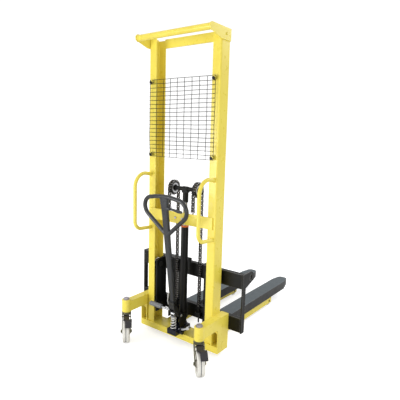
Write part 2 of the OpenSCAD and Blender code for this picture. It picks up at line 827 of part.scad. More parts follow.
// Piston head
module piston_rod() {
    bottom = base_gap + 36;
    color(GREY) place() translate([0, lift_y, bottom])
        cylinder(r = rod_d / 2, h = sprocket_z - yoke_h - neck_h - bottom, $fn = round_fn);
}

module sprocket_yoke() {
    color(BLACK) place() translate([0, lift_y, sprocket_z]) difference() {
        union() {
            translate([-20, -17, -yoke_h]) cube([40, 34, yoke_h]);
            translate([0, 0, -yoke_h - neck_h]) cylinder(r = neck_r, h = neck_h + 1, $fn = round_fn);
            x_rod(17, 40, round_fn);
            x_rod(14, 2 * (chain_x - hub_w / 2 - 1), round_fn);
        }
        x_rod(axle_d / 2, 400);
    }
}

module sprocket_axle() {
    len = 2 * (chain_x + hub_w / 2 + 7);
    color(STEEL) place() translate([0, lift_y, sprocket_z]) {
        x_rod(axle_d / 2, len);
        for (side = [-1, 1]) translate([side * (len / 2 - 3), 0, 0]) x_rod(axle_d / 2 + 4, 5);
    }
}

// A sprocket with round seats for the chain's rollers
module sprocket(side) {
    seat_r = chain_roller_r + 0.3;
    color(BLACK) place() translate([side * chain_x, lift_y, sprocket_z]) rotate([90, 0, 90])
        difference() {
            union() {
                translate([0, 0, -sprocket_w / 2]) linear_extrude(height = sprocket_w) difference() {
                    circle(r = tip_r, $fn = round_fn);
                    for (i = [0:teeth - 1]) rotate(360 * i / teeth) translate([pitch_r, 0]) {
                        circle(r = seat_r, $fn = small_fn);
                        polygon([[0, -seat_r], [7, -seat_r - 1.4], [7, seat_r + 1.4], [0, seat_r]]);
                    }
                }
                cylinder(r = shoulder_r, h = shoulder_w, center = true, $fn = round_fn);
                cylinder(r = hub_r, h = hub_w, center = true, $fn = round_fn);
            }
            cylinder(r = axle_d / 2 + run_gap, h = hub_w + 2, center = true, $fn = small_fn);
        }
}

module sprocket_left() { sprocket(-1); }
module sprocket_right() { sprocket(1); }

// Lift chains: the rear run rises from its anchor, wraps the sprocket and runs down in front.
// Distances along the chain are counted from the axle's height on the rear side.
wrap_len = PI * pitch_r;
function chain_point(s) =
    s < 0 ? [rear_run_y, sprocket_z + s] :
    s > wrap_len ? [front_run_y, sprocket_z - (s - wrap_len)] :
    let (a = 180 - s / wrap_len * 180) [lift_y + pitch_r * cos(a), sprocket_z + pitch_r * sin(a)];
function chain_normal(s) =
    s < 0 ? [-1, 0] : s > wrap_len ? [1, 0] :
    let (a = 180 - s / wrap_len * 180) [cos(a), sin(a)];
first_link = -rear_links;
last_link = teeth / 2 + front_links;
steps_per_link = 4;
waist = 0.7;
function link_half(i) = link_r * (i % steps_per_link == 0 ? 1 : i % steps_per_link == 2 ? waist : 0.88);
function chain_edge(sign) = [for (i = [first_link * steps_per_link - 1:last_link * steps_per_link + 1])
    let (s = i * link_step / steps_per_link, k = abs(i))
    chain_point(s) + sign * link_half(k) * chain_normal(s)];
function backwards(v) = [for (i = [len(v) - 1:-1:0]) v[i]];

module chain(side) {
    outline = concat(chain_edge(1), backwards(chain_edge(-1)));
    color(BLACK) place() translate([side * chain_x, 0, 0]) {
        for (x = [-link_in - link_t, link_in]) side_plate(x, x + link_t) polygon(outline);
        for (i = [first_link:last_link]) let (p = chain_point(i * link_step))
            translate([0, p[0], p[1]]) x_rod(chain_roller_r, 2 * link_in, 16);
    }
}

module chain_left() { chain(-1); }
module chain_right() { chain(1); }

// Carriage
module cross_plate(z, h) {
    translate([-carriage_x + side_t, carriage_y, z]) difference() {
        cube([2 * (carriage_x - side_t), cross_d, h]);
        translate([-1, cross_t, -1])
            cube([2 * carriage_x + 2, cross_d - cross_t + 1, h - cross_t + 1]);
    }
}

module carriage_upper_plate() {
    lug_w = 34;
    color(BLACK) place() {
        cross_plate(upper_z, upper_h);
        translate([-lug_w / 2, carriage_y, upper_top]) cube([lug_w, cross_t, 26]);
    }
}

module carriage_lower_plate() {
    color(BLACK) place() {
        cross_plate(lower_z, lower_h);
    }
}

module end_profile() {
    front_y = carriage_y + cross_d + 4;
    ear_r = ear_hole_d / 2 + ear_rim;
    ear_z = upper_top + 2 - ear_r;
    difference() {
        union() {
            polygon(concat([[carriage_y, lower_z - 5], [front_y, lower_z - 5], [front_y, upper_z - 2]],
                arc([ear_y, ear_z], ear_r, -50, 0, 8),
                arc([ear_y, ear_z], ear_r, 0, 90, 12),
                [[carriage_y, upper_top + 2]]));
        }
        translate([ear_y, ear_z]) circle(r = ear_hole_d / 2, $fn = round_fn);
    }
}

module carriage_end(side) {
    color(BLACK) place() mirror([side < 0 ? 1 : 0, 0, 0])
        side_plate(carriage_x - side_t, carriage_x) end_profile();
}

module carriage_end_left() { carriage_end(-1); }
module carriage_end_right() { carriage_end(1); }

module roller_plates() {
    rear = 8;
    color(BLACK) place() for (side = [-1, 1]) mirror([side < 0 ? 1 : 0, 0, 0])
        side_plate(roller_plate_x - side_t, roller_plate_x) difference() {
            polygon([[rear, lower_z], [carriage_y, lower_z], [carriage_y, upper_top],
                [channel_mid_y + 20, upper_top], [rear, upper_top - 16]]);
            for (z = roller_zs)
                translate([channel_mid_y, z]) circle(r = stub_d / 2, $fn = small_fn);
        }
}

module roller_stubs() {
    x0 = roller_plate_x - side_t;
    x1 = roller_x0 + mast_roller_w;
    color(STEEL) place() for (side = [-1, 1], z = roller_zs)
        mirror([side < 0 ? 1 : 0, 0, 0]) translate([0, channel_mid_y, z]) {
            translate([(x0 + x1) / 2, 0, 0]) x_rod(stub_d / 2, x1 - x0);
            translate([x0 - 3, 0, 0]) x_rod(stub_d / 2 + 5, 6);
            translate([(roller_plate_x + roller_x0 - work_gap) / 2, 0, 0])
                x_rod(stub_d / 2 + 4, roller_x0 - work_gap - roller_plate_x);
        }
}

module mast_roller(side, z) {
    edge = 2;
    r = mast_roller_r;
    bore = stub_d / 2 + run_gap;
    w = mast_roller_w - 1;
    color(STEEL) place() translate([side * (roller_x0 + (side > 0 ? 0 : w)), channel_mid_y, z])
        rotate([0, 90, 0]) rotate_extrude($fn = round_fn)
            polygon([[bore, 0], [r - edge, 0], [r, edge], [r, w - edge], [r - edge, w], [bore, w]]);
}

module mast_roller_upper_left() { mast_roller(-1, upper_roller_z); }
module mast_roller_upper_right() { mast_roller(1, upper_roller_z); }
module mast_roller_lower_left() { mast_roller(-1, lower_roller_z); }
module mast_roller_lower_right() { mast_roller(1, lower_roller_z); }

// Front chain ends: a drilled block on the lower cross plate, with the stud and nut through it
module front_chain_anchors() {
    block_z = lower_z + 20;
    block_d = 26;
    color(BLACK) place() for (side = [-1, 1]) translate([side * chain_x, 0, 0]) {
        difference() {
            translate([-22, carriage_y - block_d, block_z]) cube([44, block_d, 30]);
            translate([0, front_run_y, block_z - 1]) cylinder(r = anchor_r + 0.3, h = 60, $fn = small_fn);
        }
        translate([0, front_run_y, front_anchor_z])
            chain_stud(front_anchor_z - clevis_low - block_z + 42);
        translate([0, front_run_y, block_z - 9]) difference() {
            cylinder(r = 9, h = 8.7, $fn = 6);
            translate([0, 0, -1]) cylinder(r = anchor_r + 0.3, h = 12, $fn = small_fn);
        }
    }
}

// Forks: pressed upside-down channels with drawn-in, rounded tips
function fork_outline(inset, back) =
    let (half = fork_w / 2 - inset, tip = fork_tip_y - inset, neck = fork_tip_y - 105,
        nose_x = 9, nose_r = half - 22)
    concat([[-half, back], [half, back], [half, neck]],
        arc([nose_x, tip - nose_r], nose_r, 20, 90, 7),
        arc([-nose_x, tip - nose_r], nose_r, 90, 160, 7),
        [[-half, neck]]);

module fork(side) {
    low = fork_top_z - fork_h;
    shank_w = fork_w - 6;
    color(BLACK) place() translate([side * fork_x, 0, 0]) {
        difference() {
            translate([0, 0, low]) linear_extrude(height = fork_h) polygon(fork_outline(0, fork_y0));
            translate([0, 0, low - 1]) linear_extrude(height = fork_h - fork_t + 1)
                polygon(fork_outline(fork_t, fork_y0 - 1));
            side_plate(-fork_w, fork_w) polygon([[fork_tip_y - 90, low - 1], [fork_tip_y + 1, low - 1],
                [fork_tip_y + 1, fork_top_z - tip_h], [fork_tip_y - 20, fork_top_z - tip_h],
                [fork_tip_y - 90, low]]);
        }
        translate([-shank_w / 2, fork_y0, fork_top_z])
            cube([shank_w, shank_t, upper_top - fork_top_z]);
    }
}

module fork_left() { fork(-1); }
module fork_right() { fork(1); }

// Casters, drawn with the wheel trailing along X
module caster_leg_profile() {
    difference() {
        union() {
            polygon([[-25, swivel_z - crown_h], [34, swivel_z - crown_h], [44, wheel_d],
                [caster_trail + 15, wheel_d / 2 + 5], [caster_trail - 12, wheel_d / 2 - 9], [-22, wheel_d]]);
            translate([caster_trail, wheel_d / 2]) circle(r = 16, $fn = small_fn);
        }
        translate([caster_trail, wheel_d / 2]) circle(r = wheel_axle_d / 2 + work_gap, $fn = small_fn);
        translate([brake_x, brake_z]) circle(r = 4 + work_gap, $fn = small_fn);
    }
}

module caster_fork(side) {
    top = boss_z + boss_h + work_gap;
    outer = fork_leg_in + fork_leg_t;
    color(GREY) at_caster(side) {
        translate([0, 0, swivel_z - crown_h]) cylinder(r = outer + 1, h = crown_h, $fn = round_fn);
        translate([0, 0, swivel_z - crown_h - fork_leg_t]) translate([-25, -outer, 0])
            cube([59, 2 * outer, fork_leg_t]);
        for (y = [-outer, fork_leg_in])
            translate([0, y + fork_leg_t, 0]) rotate([90, 0, 0])
                linear_extrude(height = fork_leg_t) caster_leg_profile();
        cylinder_from(swivel_z - 0.01, top + 0.01, king_d / 2);
        translate([0, 0, top]) cylinder(r = 22, h = 4, $fn = round_fn);
        translate([0, 0, top + 4]) cylinder(r = 17, h = 7, $fn = round_fn);
        translate([caster_trail, 0, wheel_d / 2]) rotate([90, 0, 0])
            cylinder(r = wheel_axle_d / 2, h = 2 * outer + 2, center = true, $fn = small_fn);
        for (y = [-outer - 4, outer + 4]) translate([caster_trail, y, wheel_d / 2]) rotate([90, 0, 0])
            cylinder(r = 10, h = 6.6, center = true, $fn = 6);
    }
}

module cylinder_from(z0, z1, r) {
    translate([0, 0, z0]) cylinder(r = r, h = z1 - z0, $fn = small_fn);
}

module caster_fork_left() { caster_fork(-1); }
module caster_fork_right() { caster_fork(1); }

module caster_wheel(side) {
    r = wheel_d / 2;
    half = wheel_w / 2;
    hub = fork_leg_in - 0.5;
    bore = wheel_axle_d / 2 + run_gap;
    edge = wheel_edge;
    groove = 1.6;
    color(NYLON) at_caster(side) translate([caster_trail, 0, r]) rotate([90, 0, 0])
        rotate_extrude($fn = 96)
            polygon(concat([[bore, -hub], [20, -hub], [22, -half + 4], [r - 16, -half + 4], [r - 13, -half]],
                arc([r - edge, -half + edge], edge, -90, 0, 4),
                [[r, -groove], [r - 3, -groove / 2], [r - 3, groove / 2], [r, groove]],
                arc([r - edge, half - edge], edge, 0, 90, 4),
                [[r - 13, half], [r - 16, half - 4], [22, half - 4], [20, hub], [bore, hub]]));
}

module caster_wheel_left() { caster_wheel(-1); }
module caster_wheel_right() { caster_wheel(1); }

// Foot brake: a plate over the wheel, on a pin through the caster's legs
module caster_brake(side) {
    pin_r = 4;
    pedal_y0 = -6;
    pedal_y1 = 38;
    span = fork_leg_in + fork_leg_t + 2;
    color(GREY) at_caster(side) {
        translate([brake_x, 0, brake_z]) rotate([90, 0, 0])
            cylinder(r = pin_r, h = 2 * span, center = true, $fn = small_fn);
        translate([brake_x, 20, brake_z]) rotate([90, 0, 0]) linear_extrude(height = 40)
            polygon([[-7, -5], [7, -9], [36, -10], [48, -8], [48, -3], [22, 8], [4, 11], [-7, 11]]);
        translate([brake_x, pedal_y1, brake_z]) rotate([90, 0, 0])
            linear_extrude(height = pedal_y1 - pedal_y0)
                polygon([[40, -7], [62, -10], [94, -36], [100, -36], [100, -31], [66, -4], [40, -1]]);
    }
}

module caster_brake_left() { caster_brake(-1); }
module caster_brake_right() { caster_brake(1); }

// Handle: a tapered pole and a rounded loop, in the frame of the rocker's pin
loop_low = [0, loop_low_z];
loop_c = [loop_x, loop_z];
loop_d2 = norm(loop_c - loop_low);
loop_tilt = atan2(loop_z - loop_low_z, loop_x) - asin(loop_r / loop_d2);
crown_r = (loop_x * loop_x + 121) / 22;
crown_half = asin(loop_x / crown_r);
half_loop = concat([loop_low, loop_low + 12 * [cos(loop_tilt), sin(loop_tilt)]],
    arc(loop_c, loop_r, loop_tilt - 90, 90, 12),
    [for (i = [1:3]) let (a = crown_half * (1 - i / 3))
        [crown_r * sin(a), loop_top_z - crown_r + crown_r * cos(a)]]);
module half_loop_tube(side) {
    tube([for (p = half_loop) [side * p[0], 0, p[1]]], loop_d / 2, 14, [0, side, 0]);
}

module pole_shape() {
    top = loop_top_z - 6;
    hull() {
        translate([0, 0, pole_foot]) linear_extrude(height = 1) pole_section(pole_low_w);
        translate([0, 0, top - 90]) linear_extrude(height = 1) pole_section(pole_top_w);
    }
    hull() {
        translate([0, 0, top - 90]) linear_extrude(height = 1) pole_section(pole_top_w);
        translate([0, 0, top]) linear_extrude(height = 1) pole_section(pole_top_w + 16);
    }
}

module pole_section(w) {
    r = 7;
    for (x = [-w / 2 + r, w / 2 - r], y = [-pole_t / 2 + r, pole_t / 2 - r])
        translate([x, y]) circle(r = r, $fn = 16);
}

module drawbar() {
    lug_t = 4;
    lug_y = finger_t / 2 + work_gap;
    color(GREY) at_handle() translate([0, -pole_back, 0]) {
        pole_shape();
        for (side = [-1, 1]) half_loop_tube(side);
        for (y = [-lug_y - lug_t, lug_y]) translate([0, y + lug_t, 0]) rotate([90, 0, 0])
            linear_extrude(height = lug_t) {
                translate([finger_pin_x, finger_z]) circle(r = 8, $fn = small_fn);
                translate([0, finger_z - 8]) square([finger_pin_x, 16]);
            }
        translate([finger_pin_x, 0, finger_z]) rotate([90, 0, 0])
            cylinder(r = finger_pin_r, h = 2 * lug_y + 1, center = true, $fn = small_fn);
    }
}

// The roller's place in the handle's frame
roller_y_l = -rocker_r * cos(rocker_rise) * cos(handle_lean) + rocker_r * sin(rocker_rise) * sin(handle_lean);
roller_z_l = rocker_r * cos(rocker_rise) * sin(handle_lean) + rocker_r * sin(rocker_rise) * cos(handle_lean);
module rocker() {
    hub = rocker_pin_d / 2 + 7;
    eye = 10;
    roller_pin_r = 5;
    sock = pole_t / 2 + 6;
    color(GREY) at_handle() {
        difference() {
            union() {
                for (x = [-rocker_half, rocker_in]) side_plate(x, x + rocker_plate) {
                    circle(r = hub, $fn = small_fn);
                    translate([roller_y_l, roller_z_l]) circle(r = eye, $fn = small_fn);
                    polygon([[-hub * 0.8, -hub * 0.55], [hub, 2], [-pole_back + sock, 76],
                        [-pole_back - sock, 76], [roller_y_l - eye, roller_z_l],
                        [roller_y_l - 2, roller_z_l - eye], [roller_y_l + 16, roller_z_l - eye + 1]]);
                }
                translate([-rocker_half, -pole_back - sock, 66])
                    cube([2 * rocker_half, 2 * sock, pole_foot - 66]);
                x_rod(hub, 2 * rocker_in + 2, small_fn);
            }
            x_rod(rocker_pin_d / 2 + run_gap, 100);
        }
        translate([0, roller_y_l, roller_z_l]) x_rod(roller_pin_r, 2 * rocker_half + 2);
    }
}

module rocker_roller() {
    color(STEEL) at_handle() translate([0, roller_y_l, roller_z_l]) difference() {
        x_rod(roller_d / 2, 2 * rocker_in - 1, round_fn);
        x_rod(5 + run_gap, 2 * rocker_in + 2);
    }
}

module foot_pedal() {
    rod_r = 7;
    sleeve_r = 16;
    x0 = -rocker_half - pedal_len;
    color(BLACK) at_handle() translate([0, -pole_back - 8, 52]) difference() {
        union() {
            translate([x0 + pedal_len / 2, 0, 0]) x_rod(rod_r, pedal_len);
            translate([x0 + sleeve_len / 2, 0, 0]) x_rod(sleeve_r, sleeve_len, round_fn);
        }
    }
}

// Finger lever inside the loop, pivoting on the pole
module finger_lever() {
    x = finger_pin_x;
    z = finger_z;
    color(GREY) at_handle() translate([0, -pole_back, 0]) rotate([90, 0, 0])
        translate([0, 0, -finger_t / 2]) linear_extrude(height = finger_t) difference() {
            union() {
                circle_at(x, z, 7);
                polygon([[x, z - 7], [x + 30, z - 8], [x + 66, z - 18], [x + 96, z - 18],
                    [x + 102, z - 10], [x + 94, z - 1], [x + 70, z], [x + 34, z + 5], [x, z + 7]]);
            }
            circle_at(x, z, finger_pin_r + run_gap);
        }
}

module circle_at(x, y, r) {
    translate([x, y]) circle(r = r, $fn = small_fn);
}

// Release cable in its white cover: out of the pole's rear face and down to the rocker
cable_r = 2.6;
cable_x = -11;
cable_z = 186;
module release_cable() {
    pole_rear = -pole_back - pole_t / 2;
    pts = route([[cable_x, pole_rear, cable_z], [cable_x, pole_rear - 12, cable_z],
        [cable_x - 6, pole_rear - 12, 150], [-rocker_half - 18, pole_rear + 8, 110],
        [-rocker_half - 16, -30, 50], [-rocker_half, -30, 50]], 7, 3);
    color(NYLON) at_handle() tube(pts, cable_r, 8, [0, 0.3, 0.1]);
}

mast_upright_left();
mast_upright_right();
head_plates();
head_tube();
head_bar();
mesh_guard();
frame_bolts();
grab_handle_left();
grab_handle_right();
mid_crossbeam();
rear_chain_anchors();
base_crossmember();
outrigger_left();
outrigger_right();
caster_bosses();
leg_left();
leg_right();
load_wheel_axles();
cylinder_tube();
cylinder_ring();
pump_block();
pump_bracket();
rocker_pin();
piston_rod();
sprocket_yoke();
sprocket_axle();
sprocket_left();
sprocket_right();
carriage_upper_plate();
carriage_lower_plate();
carriage_end_left();
carriage_end_right();
roller_plates();
roller_stubs();
front_chain_anchors();
fork_left();
fork_right();
mast_roller_upper_left();
mast_roller_upper_right();
mast_roller_lower_left();
mast_roller_lower_right();
chain_left();
chain_right();
caster_fork_left();
caster_fork_right();
caster_wheel_left();
caster_wheel_right();
caster_brake_left();
caster_brake_right();
load_wheel_left();
load_wheel_right();
drawbar();
rocker();
rocker_roller();
foot_pedal();
finger_lever();
release_cable();
plunger();
plunger_spring();
release_lever();
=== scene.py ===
import json
import math

import bmesh
import bpy
from bpy.props import FloatProperty, FloatVectorProperty, IntProperty, PointerProperty
from mathutils import Matrix, Vector


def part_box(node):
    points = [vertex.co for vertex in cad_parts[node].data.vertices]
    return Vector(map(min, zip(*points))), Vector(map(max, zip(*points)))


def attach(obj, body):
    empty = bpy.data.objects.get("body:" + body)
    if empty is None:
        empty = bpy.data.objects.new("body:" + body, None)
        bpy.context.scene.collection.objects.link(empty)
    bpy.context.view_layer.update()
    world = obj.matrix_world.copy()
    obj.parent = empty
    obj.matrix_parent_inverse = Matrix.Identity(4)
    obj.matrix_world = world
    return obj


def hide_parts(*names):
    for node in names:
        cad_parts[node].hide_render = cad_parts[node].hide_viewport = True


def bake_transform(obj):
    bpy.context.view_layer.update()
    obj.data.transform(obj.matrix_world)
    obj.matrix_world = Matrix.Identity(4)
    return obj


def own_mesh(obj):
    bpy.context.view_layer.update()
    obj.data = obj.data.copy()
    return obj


bl_info = {
    "name": "Hand stacker dressing",
    "version": (1, 0, 0),
    "blender": (4, 5, 0),
    "location": "View3D > Sidebar > Stacker",
    "description": "Paint, chains, springs, wheels, welds and studio for a manual mast stacker",
    "category": "Object",
}

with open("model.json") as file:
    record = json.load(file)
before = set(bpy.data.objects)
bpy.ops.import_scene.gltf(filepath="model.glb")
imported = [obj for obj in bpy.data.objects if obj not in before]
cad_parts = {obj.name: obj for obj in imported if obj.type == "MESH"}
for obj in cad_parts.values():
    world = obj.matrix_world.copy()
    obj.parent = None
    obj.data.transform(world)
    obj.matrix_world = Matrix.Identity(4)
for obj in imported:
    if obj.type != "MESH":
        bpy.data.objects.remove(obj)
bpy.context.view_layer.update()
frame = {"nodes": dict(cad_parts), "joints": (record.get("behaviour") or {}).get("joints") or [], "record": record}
JOINTS = {joint["name"]: joint for joint in frame["joints"]}
BODY_OF = {node: body for body, nodes in frame["record"]["behaviour"]["bodies"].items() for node in nodes}
SIDES = ("left", "right")

# How far edges are rounded, in metres: cut plates, the cylinder and pump, turned parts and small bright parts
PLATE_EDGE = 0.0016
PUMP_EDGE = 0.0012
TURNED_EDGE = 0.0008
FINE_EDGE = 0.0006

# Links over a sprocket
WRAP_LINKS = 9

# How deep the relief of a surface can be, in metres
RELIEF_DEPTH = 0.0004

# Name, place, aim and width of each lamp; its power is the stage setting of that name
LAMPS = (("key", (-1.7, -4.9, 0.8), (0, -0.3, 0.5), 2.6),
         ("fill", (4.4, -2.4, 0.9), (0, -0.3, 0.4), 2.6),
         ("rim", (1.8, 4.2, 3.8), (0, 0.3, 0.6), 2.5))


# Sizes and colours a user would change

def size_setting(name, description, default, **limits):
    """A length a user would change."""
    return FloatProperty(name=name, description=description, unit="LENGTH", default=default, **limits)


def colour_setting(name, description, default):
    """A colour a user would change."""
    return FloatVectorProperty(name=name, description=description, subtype="COLOR", size=3, min=0, max=1,
                               default=default)


def count_setting(name, description, default, least, most):
    """A number of like parts a user would change."""
    return IntProperty(name=name, description=description, default=default, min=least, max=most)


def light_setting(name, description, default):
    """The strength of a light a user would change."""
    return FloatProperty(name=name, description=description, min=0, default=default)


def angle_setting(name, description, degrees):
    """A turn of the camera a user would change."""
    return FloatProperty(name=name, description=description, subtype="ANGLE", default=math.radians(degrees))


class PaintSettings(bpy.types.PropertyGroup):
    """Colours and surface of the painted, bare and moulded parts."""
    yellow: colour_setting("Yellow", "Paint of the mast, base and legs", (0.84, 0.70, 0.098))
    yellow_shade: colour_setting("Yellow, deep", "Where the yellow coat lies thicker", (0.80, 0.64, 0.07))
    black: colour_setting("Black", "Paint of the carriage, forks and cylinder", (0.0062, 0.0062, 0.0055))
    grey: colour_setting("Handle grey", "Powder coat of the handle", (0.0165, 0.0185, 0.0215))
    olive: colour_setting("Caster olive", "Plating of the caster forks", (0.17, 0.165, 0.1))
    nylon: colour_setting("Nylon", "Wheels and rollers", (0.76, 0.745, 0.69))
    edge_width: size_setting("Edge round", "Radius of the dressed edges of the mast and base", 0.0014,
                             min=0.0002, max=0.004)


class ChainSettings(bpy.types.PropertyGroup):
    """Roller chain of the lift."""
    pitch: size_setting("Pitch", "Distance between two rollers", 0.0159559, min=0.01, max=0.03)
    radius: size_setting("Wrap radius", "Radius at which the rollers lie on the sprocket", 0.0457102,
                         min=0.03, max=0.08)
    rear_links: count_setting("Rear links", "Links between the sprocket and the rear end", 8, 2, 60)
    front_links: count_setting("Front links", "Links between the sprocket and the carriage", 50, 4, 120)
    link_radius: size_setting("Link radius", "Radius of a link plate's ends", 0.0077, min=0.004, max=0.0078)
    plate: size_setting("Plate", "Thickness of a link plate", 0.0025, min=0.001, max=0.0026)
    width: size_setting("Width", "Over the outer link plates", 0.0206, min=0.012, max=0.0212)
    roller: size_setting("Roller", "Radius of a roller", 0.005, min=0.003, max=0.006)
    pin: size_setting("Pin", "Radius of a riveted pin", 0.0034, min=0.002, max=0.004)


class GrabSettings(bpy.types.PropertyGroup):
    """Grab handles beside the uprights."""
    top: size_setting("Upper end", "Height of the upper end", 1.134)
    low: size_setting("Lower end", "Height of the lower end", 0.765)
    rise: size_setting("Rise", "How much the tube rises on its way out from its upper end", 0.024,
                       min=0, max=0.03)
    foot_rise: size_setting("Lower rise", "How much it rises on its way out from its lower end", 0.008,
                            min=0, max=0.02)
    bend: size_setting("Upper bend", "Radius of the upper bend", 0.088, min=0.06, max=0.096)
    foot_bend: size_setting("Lower bend", "Radius of the lower bend", 0.058, min=0.04, max=0.09)


class GuardSettings(bpy.types.PropertyGroup):
    """Welded wire guard between the uprights."""
    columns: count_setting("Upright wires", "Number of upright wires", 10, 4, 20)
    rows: count_setting("Level wires", "Number of level wires", 20, 6, 40)
    wire: size_setting("Wire", "Diameter of a wire", 0.0034, min=0.002, max=0.006)


class SpringSettings(bpy.types.PropertyGroup):
    """Return spring of the pump plunger."""
    outer: size_setting("Outer diameter", "Over the wire", 0.039, min=0.03, max=0.05)
    wire: size_setting("Wire", "Diameter of the wire", 0.005, min=0.003, max=0.006)
    turns: count_setting("Turns", "Number of turns", 5, 4, 7)


class StageSettings(bpy.types.PropertyGroup):
    """Camera and studio."""
    lens: FloatProperty(name="Lens", description="Focal length in millimetres on a 36 mm sensor",
                        min=20, max=80, default=36.17)
    azimuth: angle_setting("Azimuth", "Turn of the view about the upright axis", 36.55)
    pitch: angle_setting("Pitch", "How far the view looks down", 8.98)
    roll: angle_setting("Roll", "Tilt of the picture", 1.61)
    place: FloatVectorProperty(name="Camera place", description="Where the camera stands", unit="LENGTH",
                               size=3, default=(1.630, -2.502192, 1.393))
    key: light_setting("Key light", "Power of the lamp on the handle side", 128.0)
    fill: light_setting("Fill light", "Power of the lamp on the right side", 46.0)
    rim: light_setting("Rim light", "Power of the lamp over the forks", 80.0)
    horizon: light_setting("Horizon", "Brightness of the room at eye level", 0.35)
    overhead: light_setting("Overhead", "Brightness of the room overhead", 1.02)


# Node helpers

COLOUR = "NodeSocketColor"
NUMBER = "NodeSocketFloat"
COUNT = "NodeSocketInt"
VECTOR = "NodeSocketVector"
OBJECT = "NodeSocketObject"
GEOMETRY = "NodeSocketGeometry"


def feed(tree, socket, source):
    """Link a socket to another one or to a node's first output, or give it a plain value."""
    if isinstance(source, bpy.types.Node):
        source = source.outputs[0]
    if isinstance(source, bpy.types.NodeSocket):
        tree.links.new(source, socket)
    else:
        socket.default_value = source


def add(tree, kind, links=(), **settings):
    """A node with its settings, fed from (input, source) pairs."""
    node = tree.nodes.new(kind)
    for key, value in settings.items():
        setattr(node, key, value)
    for key, source in links:
        feed(tree, node.inputs[key], source)
    return node


def maths(tree, operation, *values):
    """One step of arithmetic; MULTIPLY_ADD is the first value times the second, plus the third."""
    return add(tree, "ShaderNodeMath", enumerate(values), operation=operation)


def vectors(tree, operation, *values):
    """One step of vector arithmetic."""
    return add(tree, "ShaderNodeVectorMath", enumerate(values), operation=operation)


def mix_colour(tree, factor, a, b):
    """Colour a where the factor is 0 and colour b where it is 1."""
    return add(tree, "ShaderNodeMix", [(0, factor), (6, a), (7, b)], data_type="RGBA").outputs[2]


def ramp(tree, source, low, high, a=0.0, b=1.0):
    """A clamped map from low..high to a..b."""
    ends = [("Value", source), ("From Min", low), ("From Max", high), ("To Min", a), ("To Max", b)]
    return add(tree, "ShaderNodeMapRange", ends)


def noise(tree, place, scale, detail, roughness=0.5, distortion=0.0):
    """Cloudy grey values, from 0 to 1 about one half."""
    given = [("Vector", place), ("Scale", scale), ("Detail", detail), ("Roughness", roughness),
             ("Distortion", distortion)]
    return add(tree, "ShaderNodeTexNoise", given)


# Shader node groups

# The last colour and number of a painted skin lighten top faces: a little real dust on most paints, painted sheen
# on the forks and black edges.
PAINT_INPUTS = ("Coat", "Deep", "Scuff Colour", "Dust Colour"), ("Gloss", "Peel", "Scuffs", "Dust")
METAL_INPUTS = ("Metal", "Stain"), ("Gloss", "Stains", "Lines")
MOULDED_INPUTS = ("Base", "Grime"), ("Gloss", "Grime Amount", "Pits")


def open_skin(name, colours, numbers):
    """A shader group that takes a place, colours and numbers, and the sockets they come in by."""
    tree = bpy.data.node_groups.new(name, "ShaderNodeTree")
    kinds = {"Vector": VECTOR, **dict.fromkeys(colours, COLOUR), **dict.fromkeys(numbers, NUMBER)}
    for label, kind in kinds.items():
        tree.interface.new_socket(name=label, in_out="INPUT", socket_type=kind)
    return tree, add(tree, "NodeGroupInput").outputs


def close_skin(tree, colour, rough, height):
    """Put the group's colour, roughness and height out."""
    results = (("Color", COLOUR, colour), ("Roughness", NUMBER, rough), ("Height", NUMBER, height))
    for label, kind, source in results:
        tree.interface.new_socket(name=label, in_out="OUTPUT", socket_type=kind)
    add(tree, "NodeGroupOutput", [(label, source) for label, kind, source in results])
    return tree


def painted_skin_group():
    """Sprayed coat over steel: cloudy tint, orange peel, fine scuffs, and a lighter colour on top faces that is a
    little dust on most paints and painted sheen on the forks and black edges.
    """
    tree, given = open_skin("Painted skin", *PAINT_INPUTS)
    place = given["Vector"]
    cloud = noise(tree, place, scale=5.0, detail=4.0, roughness=0.55)
    tint = mix_colour(tree, ramp(tree, cloud, 0.38, 0.72), given["Coat"], given["Deep"])
    long_way = vectors(tree, "MULTIPLY", place, (420.0, 420.0, 60.0))
    streak = noise(tree, long_way, scale=1.0, detail=5.0, roughness=0.7, distortion=0.6)
    patches = noise(tree, place, scale=11.0, detail=2.0)
    scratch = maths(tree, "MULTIPLY", ramp(tree, streak, 0.64, 0.7), ramp(tree, patches, 0.56, 0.68))
    scuff = maths(tree, "MULTIPLY", scratch, given["Scuffs"])
    worn = mix_colour(tree, scuff, tint, given["Scuff Colour"])
    facing = add(tree, "ShaderNodeNewGeometry")
    normal = add(tree, "ShaderNodeSeparateXYZ", [(0, facing.outputs["Normal"])])
    # Top faces take the lighter top colour: a little real dust on most paints, and painted sheen of the overhead
    # light on the forks and on black edges.
    lying = maths(tree, "MULTIPLY", ramp(tree, normal.outputs["Z"], 0.6, 1.0), given["Dust"])
    specks = noise(tree, place, scale=420.0, detail=3.0)
    dirt_and_sheen = maths(tree, "MULTIPLY", lying, ramp(tree, specks, 0.35, 0.65, 0.5, 1.0))
    colour = mix_colour(tree, dirt_and_sheen, worn, given["Dust Colour"])
    blotch = noise(tree, place, scale=26.0, detail=3.0)
    rough = maths(tree, "ADD", given["Gloss"], ramp(tree, blotch, 0.3, 0.7, -0.05, 0.07))
    rough = maths(tree, "MULTIPLY_ADD", scuff, 0.3, rough)
    rough = maths(tree, "MULTIPLY_ADD", dirt_and_sheen, 0.4, rough)
    peel = noise(tree, place, scale=310.0, detail=2.0)
    height = maths(tree, "MULTIPLY", peel, given["Peel"])
    height = maths(tree, "MULTIPLY_ADD", cloud, 0.8, height)
    height = maths(tree, "MULTIPLY_ADD", scuff, -0.5, height)
    return close_skin(tree, colour, rough, height)


